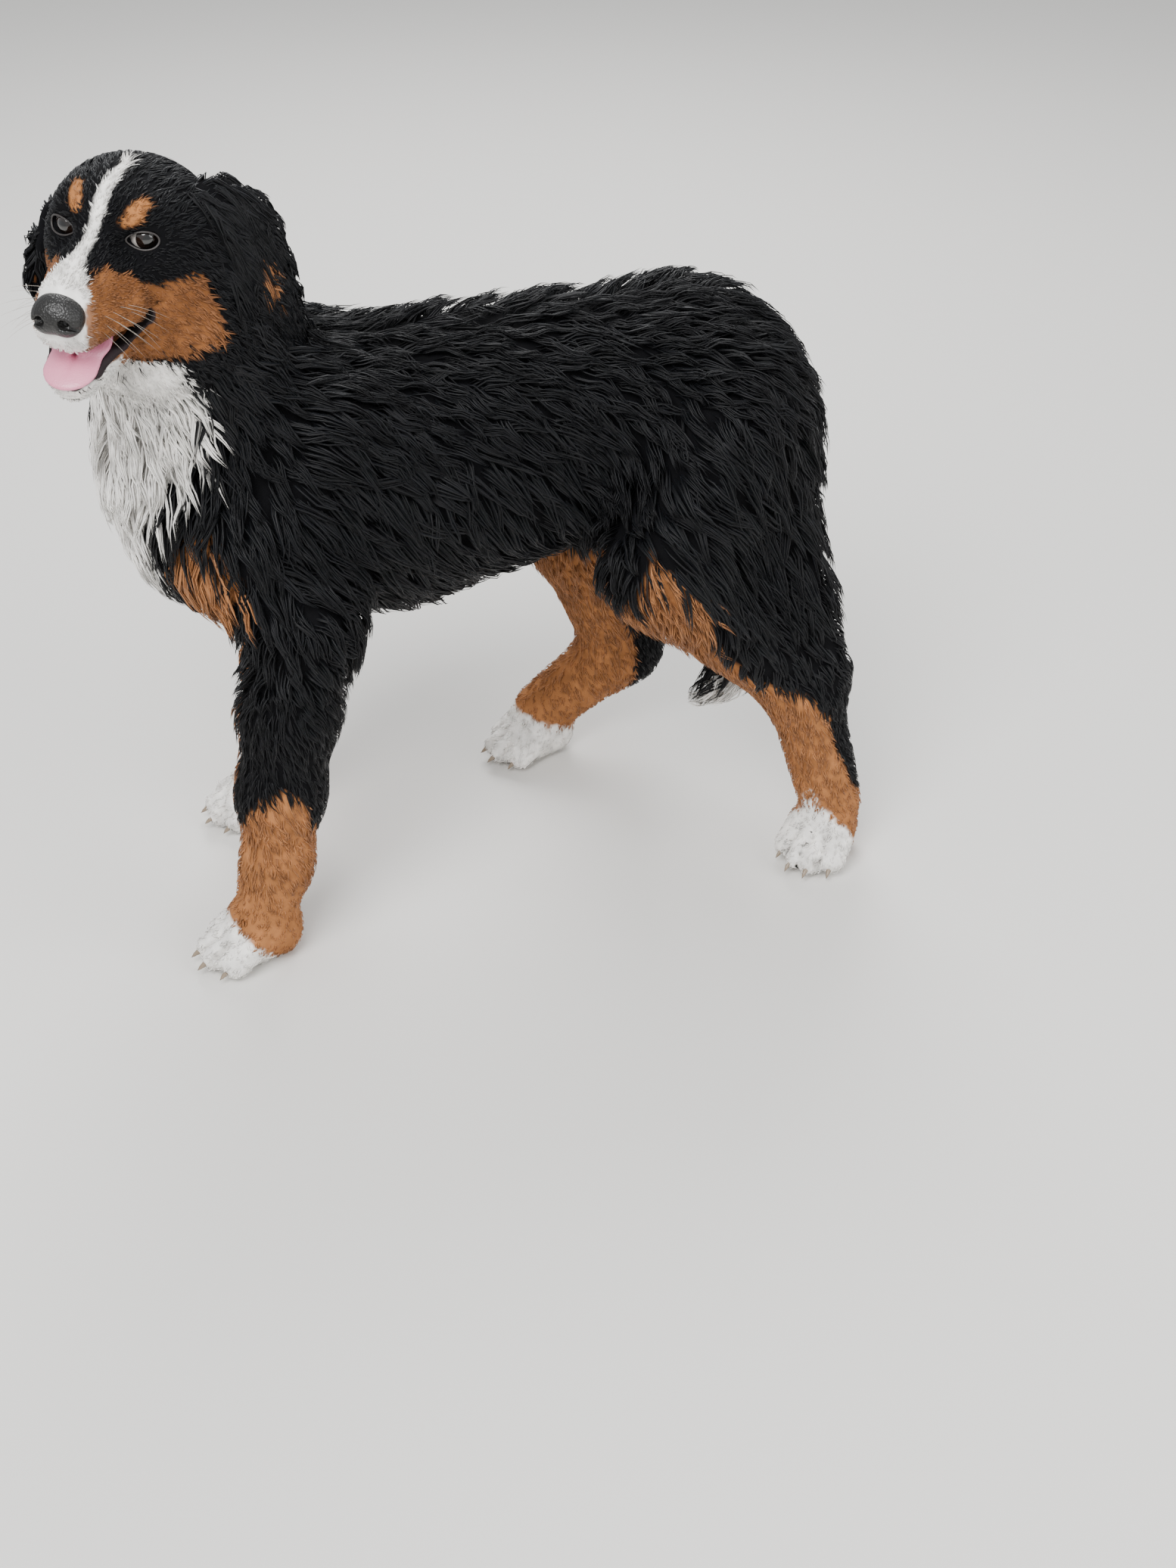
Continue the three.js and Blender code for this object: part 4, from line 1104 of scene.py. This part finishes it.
def add_node(tree, kind, settings=None, **links):
    """Adds a node with its settings, and inputs given as values or as sockets to link.

    An input goes by its name, with _ for a space, or by its number as in0, in1 and so on.
    """
    node = tree.nodes.new(kind)
    for key, value in (settings or {}).items():
        setattr(node, key, value)
    for key, value in links.items():
        at = int(key[2:]) if key.startswith("in") else key.replace("_", " ")
        socket = node.inputs[at]
        if isinstance(value, bpy.types.NodeSocket):
            tree.links.new(value, socket)
        else:
            socket.default_value = value
    return node


SHEEN_TINT = "#aeb9cc"  # the cool light that a dark coat gives back
TONE_MM = 14  # the size of the uneven tones in a coat


def coat_material(name, roughness, sheen, grain_mm, bump, gloss):
    """Hair, dyed by its own pigment: the colour attribute with fine uneven tones over it."""
    material, tree, shader = new_material(name)
    colour = add_node(tree, "ShaderNodeAttribute", {"attribute_name": "Colour"})
    place = add_node(tree, "ShaderNodeTexCoord").outputs["Object"]
    tone = add_node(tree, "ShaderNodeTexNoise", Vector=place, Scale=1000 / TONE_MM, Detail=3.0)
    tint = add_node(
        tree, "ShaderNodeMapRange", in0=tone.outputs["Fac"], in1=0.3, in2=0.7, in3=0.8, in4=1.2,
    )
    dyed = add_node(
        tree, "ShaderNodeVectorMath", {"operation": "SCALE"},
        in0=colour.outputs["Color"], Scale=tint.outputs["Result"],
    )
    tree.links.new(dyed.outputs["Vector"], shader.inputs["Base Color"])
    hair = add_node(tree, "ShaderNodeTexNoise", Vector=place, Scale=1000 / grain_mm, Detail=2.0)
    relief = add_node(
        tree, "ShaderNodeBump", Strength=bump, Distance=0.0006, Height=hair.outputs["Fac"],
    )
    tree.links.new(relief.outputs["Normal"], shader.inputs["Normal"])
    shader.inputs["Roughness"].default_value = roughness
    shader.inputs["Sheen Weight"].default_value = sheen
    shader.inputs["Sheen Roughness"].default_value = 0.4
    shader.inputs["Sheen Tint"].default_value = (*linear(SHEEN_TINT), 1)
    shader.inputs["Specular IOR Level"].default_value = gloss
    return material


def plain_material(name, code, roughness, grain_mm, bump, coat=0.0):
    """Bare skin, horn or a whisker: one colour with fine pores, wet where coat is above 0."""
    material, tree, shader = new_material(name)
    place = add_node(tree, "ShaderNodeTexCoord").outputs["Object"]
    pores = add_node(tree, "ShaderNodeTexVoronoi", Vector=place, Scale=1000 / grain_mm)
    relief = add_node(
        tree, "ShaderNodeBump", Strength=bump, Distance=0.0005, Height=pores.outputs["Distance"],
    )
    tree.links.new(relief.outputs["Normal"], shader.inputs["Normal"])
    shader.inputs["Base Color"].default_value = (*linear(code), 1)
    shader.inputs["Roughness"].default_value = roughness
    shader.inputs["Coat Weight"].default_value = coat
    return material


# The eye's colour from the middle of the pupil: pupil, brown iris, dark rim, white.
EYE_STOPS = [
    (0.0, "#030303"), (0.17, "#050403"), (0.22, "#150d09"), (0.42, "#20150f"), (0.48, "#0c0806"),
    (0.52, "#b9b2ac"), (1.0, "#d2cbc5"),
]


def eye_material():
    """A wet eye: a clear glossy layer over the iris and the white."""
    material, tree, shader = new_material("wet_eye")
    ring = add_node(tree, "ShaderNodeAttribute", {"attribute_name": "FromPupil"})
    ramp = add_node(tree, "ShaderNodeValToRGB", in0=ring.outputs["Fac"])
    while len(ramp.color_ramp.elements) < len(EYE_STOPS):
        ramp.color_ramp.elements.new(0.5)
    for element, (place, code) in zip(ramp.color_ramp.elements, EYE_STOPS):
        element.position = place
        element.color = (*linear(code), 1)
    tree.links.new(ramp.outputs["Color"], shader.inputs["Base Color"])
    shader.inputs["Roughness"].default_value = 0.12
    shader.inputs["Coat Weight"].default_value = 1.0
    shader.inputs["Coat Roughness"].default_value = 0.03
    return material


def dress(obj, material, slot, *replaced):
    """Gives a piece its material, hangs it on the root and hides the solids that it replaces. slot is not
    used.
    """
    obj.data.materials.clear()
    obj.data.materials.append(material)
    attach(obj, "root")
    if replaced:
        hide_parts(*replaced)


CORNEA_HEIGHT, CORNEA_WIDTH = 0.07, 0.62  # as a share of the ball's radius, and in radians


def eyeball(name, side, gaze):
    """A ball with a raised cornea. FromPupil is 0 at the pupil, 1 at the sides, 2 at the back."""
    rows, turns = 40, 48
    f = unit(gaze)
    across = unit(np.cross(vec(0, 0, 1), f))
    up = np.cross(f, across)
    angle = np.pi * np.arange(1, rows) / rows
    around = 2 * np.pi * np.arange(turns) / turns
    a, b = np.meshgrid(angle, around, indexing="ij")
    bulge = 1 + CORNEA_HEIGHT * np.clip(1 - (a / CORNEA_WIDTH) ** 2, 0, 1)
    around_f = np.cos(b)[..., None] * across + np.sin(b)[..., None] * up
    way = np.cos(a)[..., None] * f + np.sin(a)[..., None] * around_f
    ring = (way * (EYE_RADIUS * bulge)[..., None]).reshape(-1, 3)
    front = f * EYE_RADIUS * (1 + CORNEA_HEIGHT)
    points = np.concatenate([[front], ring, [-f * EYE_RADIUS]]) + eye_centre(side)
    faces = []
    for i in range(rows - 2):
        for j in range(turns):
            a0, a1 = 1 + i * turns + j, 1 + i * turns + (j + 1) % turns
            faces += [(a0, a0 + turns, a1 + turns), (a0, a1 + turns, a1)]
    last = len(points) - 1
    foot = 1 + (rows - 2) * turns
    for j in range(turns):
        faces += [(0, 1 + j, 1 + (j + 1) % turns), (last, foot + (j + 1) % turns, foot + j)]
    obj = mesh_object(name, from_head(points), np.array(faces))
    add_values(obj, "FromPupil", np.concatenate([[0], np.repeat(angle, turns), [np.pi]]) / np.pi * 2)
    return obj


RIM_WIDE, RIM_DEEP = 0.75, 0.6


def lid_rims(side):
    """The bare rim of the lids, as a thin ring along the edge of the skin over the ball."""
    f, across, up = eye_frame(side)
    turns, around, trials = 72, 8, 60
    a = 2 * np.pi * np.arange(turns) / turns
    depth = np.linspace(-0.5, 0.98, trials) * OPENING[0]
    narrow = 1.03 * np.sqrt(1 - (depth / OPENING[0]) ** 2)
    reach = 1 + INNER_CORNER * np.clip(-side * np.cos(a), 0, 1) ** 6
    u = OPENING[1] * (np.cos(a) * reach)[:, None] * narrow
    v = OPENING[2] * np.sin(a)[:, None] * narrow
    ahead = f * (OPENING_AHEAD + depth)[None, :, None]
    places = eye_centre(side) + ahead + u[..., None] * across + v[..., None] * up
    solid = skin(from_head(places.reshape(-1, 3))).reshape(turns, trials)
    last = trials - 1 - np.argmax(solid[:, ::-1] < 0, axis=1)
    middle = places[np.arange(turns), np.minimum(last, trials - 1)]
    middle = (middle + np.roll(middle, 1, 0) + np.roll(middle, -1, 0)) / 3
    off = middle - eye_centre(side)
    outward = unit(off - (off @ f)[:, None] * f)
    points, faces = [], []
    for i in range(turns):
        for k in range(around):
            b = 2 * math.pi * k / around
            points.append(middle[i] + outward[i] * RIM_WIDE * math.cos(b) + f * RIM_DEEP * math.sin(b))
    for i in range(turns):
        for k in range(around):
            first, second = i * around + k, i * around + (k + 1) % around
            after = (i + 1) % turns * around
            faces.append((first, second, after + (k + 1) % around, after + k))
    name = "lid_rim_left" if side > 0 else "lid_rim_right"
    return mesh_object(name, from_head(np.array(points)), np.array(faces))


def blade(length, widths, curve, sides=8):
    """A tapered, curved rod along Z that bends towards X, ending in a point, in metres."""
    points, faces = [], []
    rings = len(widths)
    for k, (wide, deep) in enumerate(widths):
        t = k / rings
        for i in range(sides):
            a = 2 * math.pi * i / sides
            points.append((curve * t * t + deep * math.cos(a), wide * math.sin(a), length * t))
    points += [(curve, 0, length), (0, 0, 0)]
    tip, foot = len(points) - 2, len(points) - 1
    for i in range(sides):
        after = (i + 1) % sides
        faces.append((foot, after, i))
        for k in range(rings - 1):
            a, b = k * sides + i, k * sides + after
            faces.append((a, b, b + sides, a + sides))
        faces.append(((rings - 1) * sides + i, (rings - 1) * sides + after, tip))
    mesh = bpy.data.meshes.new("blade")
    mesh.from_pydata([tuple(c * MM for c in p) for p in points], [], faces)
    mesh.shade_smooth()
    return bpy.data.objects.new("blade", mesh)


LEAST_SIZE = 0.85


def copies_by_nodes(name, item, places, turns, finish, seed):
    """Copies of an item at places, each with its own turn and a slightly uneven size.

    The copies are made by Geometry Nodes, whose inputs are the item, the finish, the least size
    and the seed of the sizes.
    """
    mesh = bpy.data.meshes.new(name)
    mesh.from_pydata([tuple(p) for p in to_model(np.array(places))], [], [])
    obj = bpy.data.objects.new(name, mesh)
    bpy.context.scene.collection.objects.link(obj)
    add_values(obj, "Turn", turns, "FLOAT_VECTOR")
    tree = bpy.data.node_groups.new(name, "GeometryNodeTree")
    sockets = {}
    kinds = {"Roots": "Geometry", "Item": "Object", "Finish": "Material", "Least": "Float", "Seed": "Int"}
    for label, kind in kinds.items():
        sockets[label] = tree.interface.new_socket(
            label, in_out="INPUT", socket_type=f"NodeSocket{kind}",
        )
    tree.interface.new_socket("Copies", in_out="OUTPUT", socket_type="NodeSocketGeometry")
    inputs = tree.nodes.new("NodeGroupInput").outputs
    shape = add_node(tree, "GeometryNodeObjectInfo", Object=inputs["Item"])
    turn = add_node(
        tree, "GeometryNodeInputNamedAttribute", {"data_type": "FLOAT_VECTOR"}, Name="Turn",
    )
    rotation = add_node(tree, "FunctionNodeEulerToRotation", Euler=turn.outputs["Attribute"])
    size = add_node(
        tree, "FunctionNodeRandomValue", {"data_type": "FLOAT"}, in2=inputs["Least"], Seed=inputs["Seed"],
    )
    copies = add_node(
        tree, "GeometryNodeInstanceOnPoints", Points=inputs["Roots"], Instance=shape.outputs["Geometry"],
        Rotation=rotation.outputs["Rotation"], Scale=size.outputs[1],
    )
    real = add_node(tree, "GeometryNodeRealizeInstances", Geometry=copies.outputs["Instances"])
    dressed = add_node(
        tree, "GeometryNodeSetMaterial", Geometry=real.outputs["Geometry"], Material=inputs["Finish"],
    )
    tree.links.new(dressed.outputs["Geometry"], tree.nodes.new("NodeGroupOutput").inputs["Copies"])
    modifier = obj.modifiers.new("copies", "NODES")
    modifier.node_group = tree
    for label, value in (("Item", item), ("Finish", finish), ("Least", LEAST_SIZE), ("Seed", seed)):
        modifier[sockets[label].identifier] = value
    bpy.context.view_layer.update()
    done = obj.evaluated_get(bpy.context.evaluated_depsgraph_get())
    finished = bpy.data.meshes.new_from_object(done)
    obj.modifiers.clear()
    obj.data = finished
    obj.data.name = name
    bpy.data.objects.remove(item)
    return obj


def turn_to(way, down):
    """The turn that sets Z along way with X towards down, as Euler angles."""
    z = unit(way)
    x = unit(down - z * (down @ z))
    return tuple(Matrix(np.column_stack([x, np.cross(z, x), z]).tolist()).to_euler())


def claws(finish):
    """A short dark horn at the tip of each toe, curved down."""
    places, turns = [], []
    for _, tips, _ in PAWS.values():
        for tip, way in tips:
            places.append(tip + way * 8 + vec(0, 0, 1.5))
            turns.append(turn_to(unit(way * vec(1, 1, 0)) + vec(0, 0, -0.3), vec(0, 0, -1)))
    item = blade(13.5, [(2.6, 3.2), (2.5, 3.0), (2.1, 2.5), (1.4, 1.7)], 3.2)
    return copies_by_nodes("claws", item, places, turns, finish, 3)


def whiskers(finish):
    """Three rows of four whiskers on each side of the muzzle, rooted in the skin."""
    rng = np.random.default_rng(17)
    roots, turns = [], []
    for s in SIDES:
        for row in range(3):
            for k in range(4):
                root = vec(60 - 8 * k + rng.uniform(-1, 1), s * 60, -35 - 6 * row + rng.uniform(-1, 1))
                inside = vec(root[0] - 4, 0, root[2])
                t = np.linspace(0, 1, 200)[:, None]
                line = from_head(root + (inside - root) * t)
                roots.append(line[np.argmax(skin(line) < -0.3)])
                way = vec(0.25 - 0.18 * k, s, -0.15 - 0.2 * row) + rng.normal(0, 0.06, 3)
                turns.append(turn_to(way @ HEAD_AXES, vec(-0.2, 0, -1) @ HEAD_AXES))
    item = blade(36, [(0.16, 0.16), (0.15, 0.15), (0.13, 0.13), (0.1, 0.1), (0.07, 0.07)], 7, 3)
    return copies_by_nodes("whiskers", item, roots, turns, finish, 5)


def fix_outward(obj):
    """Turns the faces of a piece so that all of them look outwards."""
    bm = bmesh.new()
    bm.from_mesh(obj.data)
    bmesh.ops.recalc_face_normals(bm, faces=bm.faces)
    bm.to_mesh(obj.data)
    bm.free()


# Building the whole animal.
skin_obj, skin_points, skin_quads = make_skin()
skin_uv = unwrap(skin_obj)
coat = make_coat(skin_points, skin_quads, skin_uv)

# Dull, so that no bare spot shines between the locks.
skin_finish = coat_material("short_hair_on_skin", 0.85, 0.0, 1.6, 0.5, gloss=0.08)
# A soft shine along the locks, which shows the waves of the black coat.
hair_finish = coat_material("guard_hair", 0.5, 0.03, 1.2, 0.15, gloss=0.24)
# Pebbled, moist black leather.
nose_finish = plain_material("nose_leather", "#141312", 0.4, 1.5, 0.8)
# Wet pink flesh with fine bumps.
tongue_finish = plain_material("tongue_flesh", "#dc88a2", 0.42, 1.1, 0.5, coat=0.3)
# Smooth dark skin that draws a thin line round the eye.
rim_finish = plain_material("lid_rim_skin", "#2f2b2a", 0.5, 1.0, 0.2)
eye_finish = eye_material()

FLESH = [n for n in NODES if not n.startswith(("eye_", "nose", "tongue"))]
dress(skin_obj, skin_finish, "coat_black", *FLESH)
for piece in coat:
    dress(piece, hair_finish, "coat_black")

NOSTRILS = on_head(melt(2, [
    *both(lambda s: [
        egg(vec(88, s * 8.5, -33), vec(7, 3.6, 3.4)),
        limb(vec(87, s * 10, -34), vec(80, s * 17.5, -38), 2.2, 0.9),
    ]),
    limb(vec(92, 0, -32), vec(88, 0, -48), 0.9, 1.3),
]))
NOSE_STEP, TONGUE_STEP = 0.9, 1.4
nose_points, nose_quads = sculpt(press(nose, 2.0, [NOSTRILS]), HEAD_LOW, HEAD_HIGH, NOSE_STEP)
nose_obj = mesh_object("nose_pad", nose_points, nose_quads)
dress(nose_obj, nose_finish, "nose_leather", "nose")
GROOVE = on_head(limb(vec(10, 0, -58), vec(76, 1, -73), 1.6, 1.2))
tongue_points, tongue_quads = sculpt(press(tongue, 5, [GROOVE]), HEAD_LOW, HEAD_HIGH, TONGUE_STEP)
tongue_obj = mesh_object("tongue_soft", tongue_points, tongue_quads)
dress(tongue_obj, tongue_finish, "tongue_flesh", "tongue")
GAZE = {1: vec(0.81, 0.57, 0.07), -1: vec(0.96, -0.24, 0.02)}
for side, name in ((1, "left"), (-1, "right")):
    ball = eyeball(f"eyeball_{name}", side, GAZE[side])
    dress(ball, eye_finish, "eye_dark", f"eye_{name}")
    rim = lid_rims(side)
    fix_outward(rim)
    dress(rim, rim_finish, "coat_black")

# Smooth brownish horn with a little shine.
claw_finish = plain_material("claw_horn", "#8a7a68", 0.35, 2.5, 0.2, coat=0.2)
dress(claws(claw_finish), claw_finish, "coat_white")
# Pale stiff hairs that show against the dark cheeks.
whisker_finish = plain_material("whisker_hair", "#a79f94", 0.5, 2.0, 0.05)
dress(whiskers(whisker_finish), whisker_finish, "coat_white")

# A pale floor, soft lights and the camera at the photograph's height and angle.
FLOOR_CORNERS = [(-4000, -4000, -1), (4000, -4000, -1), (4000, 6000, -1), (-4000, 6000, -1)]
floor = mesh_object("floor", np.array(FLOOR_CORNERS, float), np.array([[0, 1, 2, 3]]))
# Matt and nearly white, so that the black coat stands out.
floor_finish, _, floor_shader = new_material("pale_floor")
floor_shader.inputs["Base Color"].default_value = (*linear("#e4e2de"), 1)
floor_shader.inputs["Roughness"].default_value = 0.8
floor.data.materials.append(floor_finish)

CAMERA_PLACE = vec(-381.3, -1508.3, 1150)
CAMERA_PITCH, CAMERA_HEADING = 35.0, 18.153
FOCAL_PIXELS, PHOTO_HEIGHT, SENSOR = 2600, 2072, 36.0
camera = bpy.data.cameras.new("camera")
camera.sensor_width = SENSOR
camera.lens = FOCAL_PIXELS / PHOTO_HEIGHT * SENSOR
camera_obj = bpy.data.objects.new("camera", camera)
camera_obj.location = to_model(CAMERA_PLACE)
camera_obj.rotation_euler = (math.radians(90 - CAMERA_PITCH), 0, math.radians(-CAMERA_HEADING))
bpy.context.scene.collection.objects.link(camera_obj)
bpy.context.scene.camera = camera_obj

LIGHTS = [
    ("key", (-1.2, -1.6, 2.6), 1.8, 115),
    ("fill", (1.8, -1.8, 1.6), 2.2, 40),
    ("rim", (0.6, 2.0, 2.2), 1.6, 60),
]
for name, place, size, power in LIGHTS:
    light = bpy.data.lights.new(name, "AREA")
    light.shape = "DISK"
    light.size = size
    light.energy = power
    light_obj = bpy.data.objects.new(name, light)
    light_obj.location = place
    light_obj.rotation_euler = (Vector((0, 0, 0.35)) - Vector(place)).to_track_quat("-Z", "Y").to_euler()
    bpy.context.scene.collection.objects.link(light_obj)
world = bpy.data.worlds.new("studio")
world.use_nodes = True
world.node_tree.nodes["Background"].inputs["Color"].default_value = (*linear("#eceef0"), 1)
world.node_tree.nodes["Background"].inputs["Strength"].default_value = 0.8
bpy.context.scene.world = world
